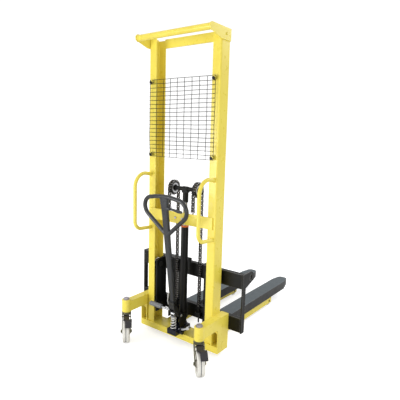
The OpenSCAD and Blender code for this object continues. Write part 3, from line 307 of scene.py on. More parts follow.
def worked_metal_group():
    """Plated, ground or oiled steel: cloudy plating, fine grinding lines and oil stains."""
    tree, given = open_skin("Worked metal", *METAL_INPUTS)
    cloud = noise(tree, given["Vector"], scale=48.0, detail=5.0, roughness=0.65)
    stain = maths(tree, "MULTIPLY", ramp(tree, cloud, 0.45, 0.7), given["Stains"])
    colour = mix_colour(tree, stain, given["Metal"], given["Stain"])
    across = vectors(tree, "MULTIPLY", given["Vector"], (60.0, 900.0, 900.0))
    lines = noise(tree, across, scale=1.0, detail=2.0)
    rough = maths(tree, "ADD", given["Gloss"], ramp(tree, lines, 0.3, 0.7, -0.06, 0.08))
    rough = maths(tree, "MULTIPLY_ADD", stain, 0.35, rough)
    return close_skin(tree, colour, rough, maths(tree, "MULTIPLY", lines, given["Lines"]))


def moulded_group():
    """Moulded nylon and rubber: soft mottling, grime in patches, tiny pits."""
    tree, given = open_skin("Moulded", *MOULDED_INPUTS)
    mottle = noise(tree, given["Vector"], scale=30.0, detail=5.0, roughness=0.6)
    grime = maths(tree, "MULTIPLY", ramp(tree, mottle, 0.48, 0.74), given["Grime Amount"])
    colour = mix_colour(tree, grime, given["Base"], given["Grime"])
    rough = maths(tree, "ADD", given["Gloss"], ramp(tree, mottle, 0.3, 0.7, -0.05, 0.1))
    pits = add(tree, "ShaderNodeTexVoronoi", [("Vector", given["Vector"]), ("Scale", 520.0)])
    return close_skin(tree, colour, rough, maths(tree, "MULTIPLY", pits.outputs["Distance"], given["Pits"]))


def finish_with(name, group, values, bump=0.13, metallic=0.0, specular=0.5, coat=0.0, coat_rough=0.1):
    """A Principled material that takes its changing values from a shared group."""
    material = bpy.data.materials.new(name)
    material.use_nodes = True
    tree = material.node_tree
    place = add(tree, "ShaderNodeTexCoord").outputs["Object"]
    skin = add(tree, "ShaderNodeGroup", [("Vector", place), *values], node_tree=group).outputs
    relief = add(tree, "ShaderNodeBump", [
        ("Strength", bump), ("Distance", RELIEF_DEPTH), ("Height", skin["Height"])])
    shader = tree.nodes["Principled BSDF"]
    for label, source in (("Metallic", metallic), ("Specular IOR Level", specular), ("Coat Weight", coat),
                          ("Coat Roughness", coat_rough), ("Base Color", skin["Color"]),
                          ("Roughness", skin["Roughness"]), ("Normal", relief)):
        feed(tree, shader.inputs[label], source)
    return material


def shade(colour, scale):
    """A lighter or darker kind of a colour."""
    return tuple(min(1.0, c * scale) for c in colour)


FINISH = {}


def make_finishes(paint):
    """Every material of the stacker: its key, name, group colours, group numbers and shader values."""
    yellow, black, grey, olive = paint.yellow, paint.black, paint.grey, paint.olive
    painted = (
        ("yellow", "Yellow enamel", (yellow, paint.yellow_shade, (0.5, 0.36, 0.05), yellow),
         (0.3, 0.3, 0.0, 0.0), dict(specular=0.45, coat=0.2, coat_rough=0.2, bump=0.03)),
        # Rounded edges painted a lighter yellow as a highlight, with a few light scuffs of wear.
        ("yellow edge highlight and wear", "Yellow enamel, thin on edges",
         (shade(yellow, 1.06), yellow, (0.6, 0.56, 0.42), yellow),
         (0.26, 0.3, 0.06, 0.0), dict(specular=0.55, coat=0.3, coat_rough=0.12, bump=0.04)),
        ("black", "Black enamel", (black, shade(black, 0.7), (0.05, 0.05, 0.05), (0.3, 0.31, 0.3)),
         (0.36, 0.6, 0.35, 0.03), dict(specular=0.22, bump=0.22)),
        # Rounded edges painted several times lighter than the black, with a light grey on their tops, as painted
        # highlight and sheen; the light scuffs are wear.
        ("black edge highlight and wear", "Black enamel, thin on edges",
         (shade(black, 6.0), shade(black, 3.0), (0.25, 0.25, 0.27), (0.42, 0.41, 0.45)),
         (0.24, 0.4, 0.9, 0.5), dict(specular=0.7, coat=0.4, bump=0.2)),
        # Fork tops take a bluish grey as painted sheen of the overhead light; the scuffs are wear.
        ("fork black with top sheen", "Black enamel, forks",
         (black, shade(black, 0.7), (0.09, 0.1, 0.11), (0.21, 0.26, 0.29)),
         (0.34, 0.7, 0.9, 0.5), dict(specular=0.42, bump=0.25)),
        ("blue black", "Blue-black oxide",
         ((0.009, 0.011, 0.024), (0.004, 0.005, 0.012), (0.1, 0.1, 0.13), (0.2, 0.2, 0.2)),
         (0.28, 0.4, 0.4, 0.04), dict(specular=0.35, bump=0.2)),
        ("grey", "Grey powder coat", (grey, shade(grey, 0.75), (0.1, 0.11, 0.12), (0.3, 0.33, 0.35)),
         (0.3, 1.0, 0.4, 0.04), dict(coat=0.25, coat_rough=0.2, bump=0.28)),
        ("cast", "Painted casting", (shade(black, 2.0), black, (0.3, 0.3, 0.3), (0.3, 0.3, 0.3)),
         (0.3, 2.2, 0.9, 0.06), dict(coat=0.3, coat_rough=0.16, bump=0.5)))
    worked = (
        ("zinc", "Bright zinc", ((0.74, 0.75, 0.77), (0.36, 0.33, 0.28)),
         (0.3, 0.35, 0.4), dict(metallic=1.0)),
        ("dull zinc", "Dull zinc", ((0.5, 0.47, 0.52), (0.22, 0.2, 0.22)),
         (0.42, 0.5, 0.4), dict(metallic=0.85)),
        ("ground", "Ground steel", ((0.5, 0.51, 0.53), (0.14, 0.12, 0.09)),
         (0.2, 0.3, 0.3), dict(metallic=1.0)),
        ("chain", "Oiled chain steel", ((0.018, 0.017, 0.016), (0.006, 0.005, 0.004)),
         (0.3, 0.6, 0.4), dict(metallic=0.6)),
        ("pin", "Bright chain pins", ((0.85, 0.83, 0.78), (0.3, 0.26, 0.2)),
         (0.36, 0.3, 0.3), dict(metallic=0.8)),
        ("roller", "Chain rollers", ((0.16, 0.15, 0.14), (0.03, 0.026, 0.02)),
         (0.3, 0.4, 0.3), dict(metallic=0.8)),
        ("sprocket", "Hardened sprocket steel", ((0.02, 0.019, 0.018), (0.008, 0.007, 0.006)),
         (0.34, 0.5, 0.5), dict(metallic=0.6)),
        ("olive", "Olive chromate plating", (olive, shade(olive, 0.5)),
         (0.34, 0.5, 0.4), dict(metallic=0.85)))
    formed = (
        ("nylon", "White nylon", (paint.nylon, (0.3, 0.27, 0.2)),
         (0.42, 0.3, 0.3), dict(bump=0.1)),
        ("hub", "Grey nylon hub", ((0.3, 0.28, 0.24), (0.12, 0.1, 0.08)),
         (0.45, 0.4, 0.4), dict(bump=0.12)),
        ("rubber", "Grey rubber", ((0.15, 0.155, 0.165), (0.3, 0.3, 0.3)),
         (0.3, 0.35, 0.8), dict(specular=0.7, bump=0.3)),
        ("plastic", "Black moulded plastic", ((0.016, 0.014, 0.019), (0.05, 0.05, 0.045)),
         (0.32, 0.3, 0.5), dict(bump=0.2)),
        ("cover", "White cable cover", ((0.82, 0.82, 0.8), (0.45, 0.43, 0.38)),
         (0.36, 0.2, 0.2), dict(bump=0.08)),
        ("seal", "Orange wiper seal", ((0.75, 0.16, 0.02), (0.3, 0.08, 0.02)),
         (0.4, 0.35, 0.3), dict(bump=0.12)))
    for group, (colour_labels, number_labels), rows in (
            (painted_skin_group(), PAINT_INPUTS, painted),
            (worked_metal_group(), METAL_INPUTS, worked),
            (moulded_group(), MOULDED_INPUTS, formed)):
        for key, name, colours, numbers, surface in rows:
            opaque = [(*colour, 1.0) for colour in colours]
            values = [*zip(colour_labels, opaque), *zip(number_labels, numbers)]
            FINISH[key] = finish_with(name, group, values, **surface)


# Mesh helpers

def hand_over(obj, name, body, node=None):
    """Name a finished mesh, hide the CAD node it stands for, and ride it on its body."""
    obj.name = name
    obj.data.name = name
    if node:
        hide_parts(node)
    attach(obj, body)
    return obj


def stand_in(obj, node, ending):
    """Hand over a mesh that stands for a CAD node, on that node's own body."""
    return hand_over(obj, node + ending, BODY_OF[node], node)


def new_object(name, data):
    """A mesh or curve as an object in the scene."""
    obj = bpy.data.objects.new(name, data)
    bpy.context.scene.collection.objects.link(obj)
    return obj


def mesh_of(bm, name):
    """A bmesh made a mesh."""
    mesh = bpy.data.meshes.new(name)
    bm.to_mesh(mesh)
    bm.free()
    return mesh


def painted_with(obj, *finishes):
    """Give an object these finishes and no others."""
    obj.data.materials.clear()
    for finish in finishes:
        obj.data.materials.append(FINISH[finish])
    return obj


def repaint(obj, finish, wanted):
    """Give another finish to the faces whose centre is wanted."""
    obj.data.materials.append(FINISH[finish])
    slot = len(obj.data.materials) - 1
    for face in obj.data.polygons:
        if wanted(face.center):
            face.material_index = slot


def modify(obj, name, kind, **settings):
    """A modifier with its settings."""
    modifier = obj.modifiers.new(name, kind)
    for key, value in settings.items():
        setattr(modifier, key, value)
    return modifier


def applied(obj):
    """The object with its modifiers turned into plain mesh."""
    bpy.context.view_layer.update()
    graph = bpy.context.evaluated_depsgraph_get()
    mesh = bpy.data.meshes.new_from_object(obj.evaluated_get(graph), depsgraph=graph)
    if obj.type == "MESH":
        obj.modifiers.clear()
        obj.data = mesh
        return obj
    name = obj.name
    bpy.data.objects.remove(obj)
    return new_object(name, mesh)


def smooth_by_angle(mesh, degrees):
    """Smooth faces with creases where the surface turns sharply."""
    bm = bmesh.new()
    bm.from_mesh(mesh)
    limit = math.radians(degrees)
    for face in bm.faces:
        face.smooth = True
    for edge in bm.edges:
        edge.smooth = len(edge.link_faces) == 2 and edge.calc_face_angle(math.pi) < limit
    bm.to_mesh(mesh)
    bm.free()


def merged_copy(node):
    """A CAD node's mesh with its loose triangles joined and its flat faces made whole."""
    touching, level = 0.000002, math.radians(0.4)
    mesh = frame["nodes"][node].data.copy()
    bm = bmesh.new()
    bm.from_mesh(mesh)
    bmesh.ops.remove_doubles(bm, verts=bm.verts, dist=touching)
    bmesh.ops.dissolve_degenerate(bm, edges=bm.edges, dist=touching)
    bmesh.ops.dissolve_limit(bm, angle_limit=level, verts=bm.verts, edges=bm.edges)
    bm.to_mesh(mesh)
    bm.free()
    return mesh


def dressed_copy(node, finish, width, edge=None, segments=2, angle=38.0):
    """A node with rounded edges, and with another finish on the rounds that paints a highlight along them, with
    some wear.
    """
    obj = painted_with(new_object(node, merged_copy(node)), *filter(None, (finish, edge)))
    for face in obj.data.polygons:
        face.use_smooth = True
    modify(obj, "Edge round", "BEVEL", width=width, segments=segments, limit_method="ANGLE",
           angle_limit=math.radians(angle), use_clamp_overlap=True, material=1 if edge else -1)
    modify(obj, "Even shading", "WEIGHTED_NORMAL", keep_sharp=True, weight=60)
    return stand_in(applied(obj), node, "_dressed")


def cast_copy(node, finish, voxel, passes, swell):
    """A node fused at a fine voxel and relaxed, as a casting or a ground weldment is."""
    obj = new_object(node, merged_copy(node))
    modify(obj, "Fuse", "REMESH", mode="VOXEL", voxel_size=voxel, use_smooth_shade=True)
    modify(obj, "Relax", "SMOOTH", factor=0.5, iterations=passes)
    modify(obj, "Swell", "DISPLACE", mid_level=0.0, strength=swell)
    obj = painted_with(applied(obj), finish)
    for face in obj.data.polygons:
        face.use_smooth = True
    return stand_in(obj, node, "_cast")


def axle(joint):
    """A joint's axis and centre."""
    return JOINTS[joint]["axis"], JOINTS[joint]["pos_m"]


def turned(name, profile, about, steps, finish):
    """A closed part turned about an axle: its outline is (along the axis, radius) pairs."""
    axis, centre = about
    bm = bmesh.new()
    rings = []
    for i in range(steps):
        turn = 2 * math.pi * i / steps
        rings.append([bm.verts.new((a, r * math.cos(turn), r * math.sin(turn))) for a, r in profile])
    count = len(profile)
    for i in range(steps):
        here, there = rings[i], rings[(i + 1) % steps]
        for k in range(count):
            m = (k + 1) % count
            bm.faces.new((here[k], here[m], there[m], there[k]))
    bmesh.ops.recalc_face_normals(bm, faces=bm.faces)
    turn = Vector((1, 0, 0)).rotation_difference(Vector(axis)).to_matrix().to_4x4()
    bm.transform(Matrix.Translation(Vector(centre)) @ turn)
    mesh = mesh_of(bm, name)
    smooth_by_angle(mesh, 30.0)
    return painted_with(new_object(name, mesh), finish)


def mirrored(half):
    """A profile of half a turned part, carried on through its middle."""
    return half + [(-along, radius) for along, radius in reversed(half)]


def rounded(profile, radius, steps):
    """A closed outline with every corner rounded, over at most this share of the shorter side."""
    share = 0.45
    out = []
    count = len(profile)
    for i in range(count):
        a, b, c = Vector(profile[i - 1]), Vector(profile[i]), Vector(profile[(i + 1) % count])
        u, v = (a - b), (c - b)
        reach = min(radius, u.length * share, v.length * share)
        p, q = b + u.normalized() * reach, b + v.normalized() * reach
        for k in range(steps + 1):
            t = k / steps
            out.append(tuple((1 - t) ** 2 * p + 2 * t * (1 - t) * b + t * t * q))
    return out


def tube(name, points, radius, quarter_sides, finish):
    """A round tube along the points, with smooth sides and flat closed ends."""
    curve = bpy.data.curves.new(name, "CURVE")
    curve.dimensions = "3D"
    curve.bevel_depth = radius
    curve.bevel_resolution = quarter_sides
    curve.use_fill_caps = True
    spline = curve.splines.new("POLY")
    spline.points.add(len(points) - 1)
    for point, place in zip(spline.points, points):
        point.co = (*place, 1.0)
    spline.use_smooth = True
    obj = painted_with(applied(new_object(name, curve)), finish)
    for face in obj.data.polygons:
        face.use_smooth = len(face.vertices) == 4
    return obj


def bend(a, b, c, radius, steps):
    """Points of the arc that rounds the corner b between a and c."""
    u, v = (a - b).normalized(), (c - b).normalized()
    half = u.angle(v) / 2
    first = b + u * (radius / math.tan(half))
    last = b + v * (radius / math.tan(half))
    centre = b + (u + v).normalized() * (radius / math.sin(half))
    across = (first - centre).normalized()
    onward = (last - centre) - across * (last - centre).dot(across)
    onward.normalize()
    sweep = math.pi - 2 * half
    return [centre + radius * (across * math.cos(sweep * k / steps) + onward * math.sin(sweep * k / steps))
            for k in range(steps + 1)]


def joined(objects, name):
    """Several mesh objects made one, materials kept."""
    bm = bmesh.new()
    slots = []
    for obj in objects:
        for material in obj.data.materials:
            if material not in slots:
                slots.append(material)
    for obj in objects:
        index = [slots.index(m) for m in obj.data.materials]
        start = len(bm.faces)
        bm.from_mesh(obj.data)
        bm.faces.ensure_lookup_table()
        for face in bm.faces[start:]:
            face.material_index = index[face.material_index]
        bpy.data.objects.remove(obj)
    mesh = mesh_of(bm, name)
    for material in slots:
        mesh.materials.append(material)
    return new_object(name, mesh)


# Geometry Nodes helpers

def open_tree(name, inputs):
    """A geometry tree with named inputs after its incoming geometry, and the sockets they come in by."""
    tree = bpy.data.node_groups.new(name, "GeometryNodeTree")
    for label, kind, value in [("Geometry", GEOMETRY, None)] + inputs:
        socket = tree.interface.new_socket(name=label, in_out="INPUT", socket_type=kind)
        if value is not None:
            socket.default_value = value
    return tree, add(tree, "NodeGroupInput").outputs


def close_tree(tree, source, finish):
    """Realize the copies, give them their material and put them out."""
    real = add(tree, "GeometryNodeRealizeInstances", [(0, source)])
    painted = add(tree, "GeometryNodeSetMaterial", [(0, real), ("Material", FINISH[finish])])
    tree.interface.new_socket(name="Geometry", in_out="OUTPUT", socket_type=GEOMETRY)
    add(tree, "NodeGroupOutput", [(0, painted)])
    return tree


def copies(tree, points, shape, turn, *more):
    """A copy of a shape at each of the points."""
    return add(tree, "GeometryNodeInstanceOnPoints", [
        ("Points", points), ("Instance", shape), ("Rotation", turn), *more])


def together(tree, parts):
    """Several geometries as one."""
    return add(tree, "GeometryNodeJoinGeometry", [(0, part) for part in parts])


def run_tree(obj, tree, values):
    """Put the tree on an object, set its inputs by identifier, and keep the result as plain mesh."""
    modifier = modify(obj, tree.name, "NODES", node_group=tree)
    for item in tree.interface.items_tree:
        if item.item_type == "SOCKET" and item.in_out == "INPUT" and item.name in values:
            modifier[item.identifier] = values[item.name]
    return applied(obj)


def line_object(name, points, closed=False):
    """A mesh of edges along the points."""
    mesh = bpy.data.meshes.new(name)
    edges = [(i, i + 1) for i in range(len(points) - 1)]
    if closed:
        edges.append((len(points) - 1, 0))
    mesh.from_pydata([tuple(p) for p in points], edges, [])
    return new_object(name, mesh)


def beads_tree():
    """Weld beads: small flattened ripples laid along the incoming edges."""
    tree, given = open_tree("Weld beads", [
        ("Step", NUMBER, 0.0028), ("Size", NUMBER, 0.003), ("Seed", COUNT, 4)])
    path = add(tree, "GeometryNodeMeshToCurve", [(0, given["Geometry"])])
    even = add(tree, "GeometryNodeResampleCurve", [("Curve", path), ("Length", given["Step"])], mode="LENGTH")
    ripple = add(tree, "GeometryNodeMeshUVSphere", [("Segments", 8), ("Rings", 5), ("Radius", given["Size"])])
    along = add(tree, "GeometryNodeInputTangent")
    turn = add(tree, "FunctionNodeAlignRotationToVector", [("Vector", along)], axis="X")
    length, least, most = 0.62, 0.88, 1.1
    vary = add(tree, "FunctionNodeRandomValue", [(2, least), (3, most), ("Seed", given["Seed"])],
               data_type="FLOAT")
    size = add(tree, "ShaderNodeCombineXYZ", [("X", length), ("Y", vary.outputs[1]), ("Z", vary.outputs[1])])
    beads = copies(tree, even, ripple, turn, ("Scale", size))
    smooth = add(tree, "GeometryNodeSetShadeSmooth", [("Geometry", beads)])
    return close_tree(tree, smooth, "yellow")


def weld(tree, name, points, size, closed=False):
    """A yellow weld on the frame, with beads of this radius along the points."""
    obj = run_tree(line_object(name, points, closed), tree, {"Size": size, "Step": size * 0.95})
    return hand_over(obj, name, "frame")


def rod_tree(name, finish):
    """A rod through every joint of the chain: a roller or a riveted pin."""
    tree, given = open_tree(name, [("Radius", NUMBER, 0.004), ("Width", NUMBER, 0.02)])
    joints = add(tree, "GeometryNodeMeshToPoints", [("Mesh", given["Geometry"])], mode="VERTICES")
    rod = add(tree, "GeometryNodeMeshCylinder", [
        ("Vertices", 12), ("Radius", given["Radius"]), ("Depth", given["Width"])])
    rods = copies(tree, joints, rod, (0, math.pi / 2, 0))
    return close_tree(tree, rods, finish)


def chain_tree():
    """Link plates on each edge of the path, outer and inner pairs by turns."""
    tree, given = open_tree("Chain plates", [
        ("Outer Link", OBJECT, None), ("Inner Link", OBJECT, None), ("First", COUNT, 0)])
    ends = add(tree, "GeometryNodeInputMeshEdgeVertices").outputs
    way = vectors(tree, "SUBTRACT", ends["Position 2"], ends["Position 1"])
    keep = add(tree, "GeometryNodeCaptureAttribute", domain="EDGE")
    keep.capture_items.new("VECTOR", "Way")
    feed(tree, keep.inputs["Geometry"], given["Geometry"])
    feed(tree, keep.inputs["Way"], way)
    middles = add(tree, "GeometryNodeMeshToPoints", [("Mesh", keep.outputs["Geometry"])], mode="EDGES")
    turn = add(tree, "FunctionNodeAlignRotationToVector", [("Vector", keep.outputs["Way"])], axis="Z",
               pivot_axis="X")
    index = add(tree, "GeometryNodeInputIndex")
    odd = maths(tree, "MODULO", maths(tree, "ADD", index, given["First"]), 2.0)
    even = maths(tree, "SUBTRACT", 1.0, odd)
    pairs = []
    for chosen, label in ((odd, "Outer Link"), (even, "Inner Link")):
        link = add(tree, "GeometryNodeObjectInfo", [("Object", given[label])])
        pairs.append(copies(tree, middles, link.outputs["Geometry"], turn, ("Selection", chosen)))
    return close_tree(tree, together(tree, pairs), "chain")


def link_plates(name, chain, end_radius, gap):
    """Two waisted link plates, gap apart inside, as one small mesh along Z."""
    waist = chain.link_radius * 0.72
    sweep, step = 240, 40
    outline = []
    for side, middle, start in ((-1, chain.pitch / 2, -30), (1, -chain.pitch / 2, 150)):
        for angle in range(start, start + sweep + 1, step):
            a = math.radians(angle)
            outline.append((end_radius * math.cos(a), middle + end_radius * math.sin(a)))
        outline.append((side * waist, 0.0))
    bm = bmesh.new()
    for x0 in (gap / 2, -gap / 2 - chain.plate):
        near = [bm.verts.new((x0, y, z)) for y, z in outline]
        far = [bm.verts.new((x0 + chain.plate, y, z)) for y, z in outline]
        bm.faces.new(near[::-1])
        bm.faces.new(far)
        for i in range(len(outline)):
            j = (i + 1) % len(outline)
            bm.faces.new((near[i], near[j], far[j], far[i]))
    bmesh.ops.recalc_face_normals(bm, faces=bm.faces)
    return new_object(name, mesh_of(bm, name))


def guard_tree():
    """Two crossed layers of round wire, pressed into each other, that wander a little.
    Each layer stands off the middle by 0.82 of the wire's radius."""
    tree, given = open_tree("Wire guard", [
        ("Width", NUMBER, 0.52), ("Height", NUMBER, 0.49), ("Columns", COUNT, 10), ("Rows", COUNT, 20),
        ("Wire", NUMBER, 0.0034), ("Wander", NUMBER, 0.007)])
    radius = maths(tree, "MULTIPLY", given["Wire"], 0.5)
    layers = []
    for count, across, along, axis, side, turn in (
            ("Columns", "Width", "Height", "X", 0.82, (0, 0, 0)),
            ("Rows", "Height", "Width", "Z", -0.82, (0, math.pi / 2, 0))):
        span = maths(tree, "SUBTRACT", given[across], given["Wire"])
        step = maths(tree, "DIVIDE", span, maths(tree, "SUBTRACT", given[count], 1.0))
        first = add(tree, "ShaderNodeCombineXYZ", [
            (axis, maths(tree, "MULTIPLY", span, -0.5)), ("Y", maths(tree, "MULTIPLY", radius, side))])
        onward = add(tree, "ShaderNodeCombineXYZ", [(axis, step)])
        row = add(tree, "GeometryNodeMeshLine", [
            ("Count", given[count]), ("Start Location", first), ("Offset", onward)])
        rod = add(tree, "GeometryNodeMeshCylinder", [
            ("Vertices", 8), ("Side Segments", 22), ("Radius", radius), ("Depth", given[along])])
        layers.append(copies(tree, row, rod, turn))
    real = add(tree, "GeometryNodeRealizeInstances", [(0, together(tree, layers))])
    drift = add(tree, "ShaderNodeTexNoise", [("Scale", 7.0), ("Detail", 1.0)])
    centred = vectors(tree, "SUBTRACT", drift.outputs["Color"], (0.5, 0.5, 0.5))
    wander = add(tree, "ShaderNodeVectorMath", [(0, centred), ("Scale", given["Wander"])], operation="SCALE")
    bent = add(tree, "GeometryNodeSetPosition", [("Geometry", real), ("Offset", wander)])
    return close_tree(tree, bent, "black")


# Operators

class STACKER_OT_finishes(bpy.types.Operator):
    """Mix the paints, metals and plastics"""
    bl_idname = "stacker.finishes"
    bl_label = "Finishes"

    def execute(self, context):
        make_finishes(context.scene.stacker_paint)
        return {"FINISHED"}


class STACKER_OT_stage(bpy.types.Operator):
    """Set the floor, the soft lights and the camera"""
    bl_idname = "stacker.stage"
    bl_label = "Studio and camera"

    def execute(self, context):
        scene = context.scene
        stage = scene.stacker_stage
        self.floor()
        scene.world = self.sky(stage)
        for name, place, aim, width in LAMPS:
            light = bpy.data.lights.new(name, "AREA")
            light.shape = "DISK"
            light.size = width
            light.energy = getattr(stage, name)
            lamp = new_object(name, light)
            lamp.location = place
            lamp.rotation_euler = (Vector(aim) - Vector(place)).to_track_quat("-Z", "Y").to_euler()
        scene.camera = self.camera(stage)
        scene.view_settings.view_transform = "Standard"
        return {"FINISHED"}

    def camera(self, stage):
        """The photograph's view."""
        a, e, r = stage.azimuth, stage.pitch, stage.roll
        ahead = Vector((-math.sin(a) * math.cos(e), math.cos(a) * math.cos(e), -math.sin(e)))
        level = Vector((math.cos(a), math.sin(a), 0))
        over = level.cross(ahead)
        right = level * math.cos(r) + over * math.sin(r)
        up = -level * math.sin(r) + over * math.cos(r)
        data = bpy.data.cameras.new("Camera")
        data.lens = stage.lens
        data.sensor_width = 36.0
        data.clip_end = 200
        camera = new_object("Camera", data)
        turn = Matrix((right, up, -ahead)).transposed().to_4x4()
        camera.matrix_world = Matrix.Translation(Vector(stage.place)) @ turn
        return camera

    def floor(self):
        """White paper that the camera sees a little brighter than it lights the part."""
        bpy.ops.mesh.primitive_plane_add(size=60, location=(0, 0, 0))
        floor = bpy.context.object
        floor.name = "studio_floor"
        paper = bpy.data.materials.new("Studio floor")
        paper.use_nodes = True
        tree = paper.node_tree
        seen = add(tree, "ShaderNodeLightPath")
        shader = tree.nodes["Principled BSDF"]
        for label, source in (
                ("Base Color", (0.74, 0.74, 0.74, 1)), ("Roughness", 0.9), ("Specular IOR Level", 0.1),
                ("Emission Color", (1, 1, 1, 1)),
                ("Emission Strength", maths(tree, "MULTIPLY", seen.outputs["Is Camera Ray"], 0.6))):
            feed(tree, shader.inputs[label], source)
        floor.data.materials.append(paper)

    def sky(self, stage):
        """White to the camera; as light, bright overhead and dim along the horizon."""
        world = bpy.data.worlds.new("Studio")
        world.use_nodes = True
        tree = world.node_tree
        place = add(tree, "ShaderNodeTexCoord")
        axes = add(tree, "ShaderNodeSeparateXYZ", [(0, place.outputs["Generated"])])
        glow = ramp(tree, axes.outputs["Z"], 0.05, 0.7, stage.horizon, stage.overhead)
        seen = add(tree, "ShaderNodeLightPath")
        white = maths(tree, "MULTIPLY", seen.outputs["Is Camera Ray"], 1.1)
        back = tree.nodes["Background"]
        back.inputs["Color"].default_value = (1, 1, 1, 1)
        feed(tree, back.inputs["Strength"], maths(tree, "MAXIMUM", glow, white))
        return world


class STACKER_OT_mast(bpy.types.Operator):
    """Round the edges of the mast, base and legs and paint them, and bend the grab handles"""
    bl_idname = "stacker.mast"
    bl_label = "Mast and base"

    def execute(self, context):
        width = context.scene.stacker_paint.edge_width
        for node in ("mast_upright_left", "mast_upright_right", "head_plates", "head_bar", "mid_crossbeam",
                     "base_crossmember", "outrigger_left", "outrigger_right", "caster_bosses", "leg_left",
                     "leg_right"):
            dressed_copy(node, "yellow", width, "yellow edge highlight and wear", 3)
        dressed_copy("head_tube", "yellow", FINE_EDGE)
        for side in SIDES:
            self.grab_handle("grab_handle_" + side, context.scene.stacker_grab)
        dressed_copy("rear_chain_anchors", "dull zinc", FINE_EDGE)
        dressed_copy("load_wheel_axles", "chain", FINE_EDGE)
        dressed_copy("rocker_pin", "zinc", FINE_EDGE)
        self.bolts()
        return {"FINISHED"}

    def grab_handle(self, node, grab):
        """A bent tube along the CAD path, with a full round section and soft bends."""
        stub, stub_bend, fuller = 0.008, 0.02, 1.02
        low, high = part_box(node)
        x = (low.x + high.x) / 2
        radius = (high.x - low.x) / 2 * fuller
        flange, reach = high.y, low.y + radius
        ends = [Vector((x, flange, grab.top)), Vector((x, flange - stub, grab.top)),
                Vector((x, reach, grab.top + grab.rise)), Vector((x, reach, grab.low + grab.foot_rise)),
                Vector((x, flange - stub, grab.low)), Vector((x, flange, grab.low))]
        points = [ends[0]] + bend(*ends[0:3], stub_bend, 4) + bend(*ends[1:4], grab.bend, 16)
        points += bend(*ends[2:5], grab.foot_bend, 14) + bend(*ends[3:6], stub_bend, 4) + [ends[5]]
        stand_in(tube(node + "_tube", points, radius, 6, "yellow"), node, "_tube")

    def bolts(self):
        """Dull bolts low down, yellow ones from the guard up, and black ones at the guard's corners."""
        bolts = dressed_copy("frame_bolts", "dull zinc", FINE_EDGE)
        low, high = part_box("mesh_guard")
        inset_x, inset_z, reach, below = 0.012, 0.014, 0.0075, 0.03

        def at_guard_corner(c):
            aside = abs(abs(c.x) - (high.x - low.x) / 2 + inset_x)
            above = min(abs(c.z - low.z - inset_z), abs(c.z - high.z + inset_z))
            return max(aside, above) <= reach

        repaint(bolts, "yellow", lambda c: c.z > low.z - below)
        repaint(bolts, "black", at_guard_corner)


class STACKER_OT_guard(bpy.types.Operator):
    """Weld the wire guard from crossed rows of wire"""
    bl_idname = "stacker.guard"
    bl_label = "Wire guard"

    def execute(self, context):
        guard = context.scene.stacker_guard
        low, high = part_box("mesh_guard")
        obj = run_tree(line_object("guard", [(0, 0, 0)]), guard_tree(), {
            "Width": high.x - low.x, "Height": high.z - low.z, "Columns": guard.columns, "Rows": guard.rows,
            "Wire": guard.wire})
        obj.data.transform(Matrix.Translation((low + high) / 2))
        smooth_by_angle(obj.data, 50.0)
        hand_over(obj, "wire_guard", "frame", "mesh_guard")
        return {"FINISHED"}


class STACKER_OT_chains(bpy.types.Operator):
    """Lay the two lift chains over their sprockets, link by link"""
    bl_idname = "stacker.chains"
    bl_label = "Lift chains"

    def execute(self, context):
        chain = context.scene.stacker_chain
        smaller, clear, rivet = 0.97, 2.1, 0.0006
        gap = chain.width - 2 * chain.plate
        inner_gap = gap - clear * chain.plate
        outer = link_plates("outer_link", chain, chain.link_radius, gap)
        inner = link_plates("inner_link", chain, chain.link_radius * smaller, inner_gap)
        layers = (
            (chain_tree(), {"Outer Link": outer, "Inner Link": inner}),
            (rod_tree("Chain rollers", "roller"), {"Radius": chain.roller, "Width": inner_gap + 0.0004}),
            (rod_tree("Chain pins", "pin"), {"Radius": chain.pin, "Width": chain.width + 2 * rivet}))
        for side in SIDES:
            self.lay(side, chain, layers)
        bpy.data.objects.remove(outer)
        bpy.data.objects.remove(inner)
        return {"FINISHED"}

    def lay(self, side, chain, layers):
        """One chain, in a front run, a wrap over the sprocket and a rear run."""
        axis = Vector(JOINTS["sprocket_turn_" + side]["pos_m"])
        pitch, radius = chain.pitch, chain.radius

        def spot(i):
            """Where joint i lies: behind the sprocket below 0, and in front of it above WRAP_LINKS."""
            if i < 0:
                return Vector((axis.x, axis.y - radius, axis.z + i * pitch))
            if i > WRAP_LINKS:
                return Vector((axis.x, axis.y + radius, axis.z - (i - WRAP_LINKS) * pitch))
            turn = math.pi * (1 - i / WRAP_LINKS)
            return Vector((axis.x, axis.y + radius * math.cos(turn), axis.z + radius * math.sin(turn)))

        for part, first, last in (("rear", -chain.rear_links, -1), ("wrap", -1, WRAP_LINKS + 1),
                                  ("front", WRAP_LINKS + 1, WRAP_LINKS + chain.front_links)):
            name = f"chain_{side}_{part}"
            places = [spot(i) for i in range(first, last + 1)]
            obj = joined([run_tree(line_object(name, places), tree, {**values, "First": first % 2})
                          for tree, values in layers], name)
            smooth_by_angle(obj.data, 40.0)
            obj.name = name
            if part == "wrap":
                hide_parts("chain_" + side)
                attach(obj, "piston_head")
            elif part == "rear":
                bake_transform(obj)
            else:
                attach(obj, "carriage")
                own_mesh(obj)


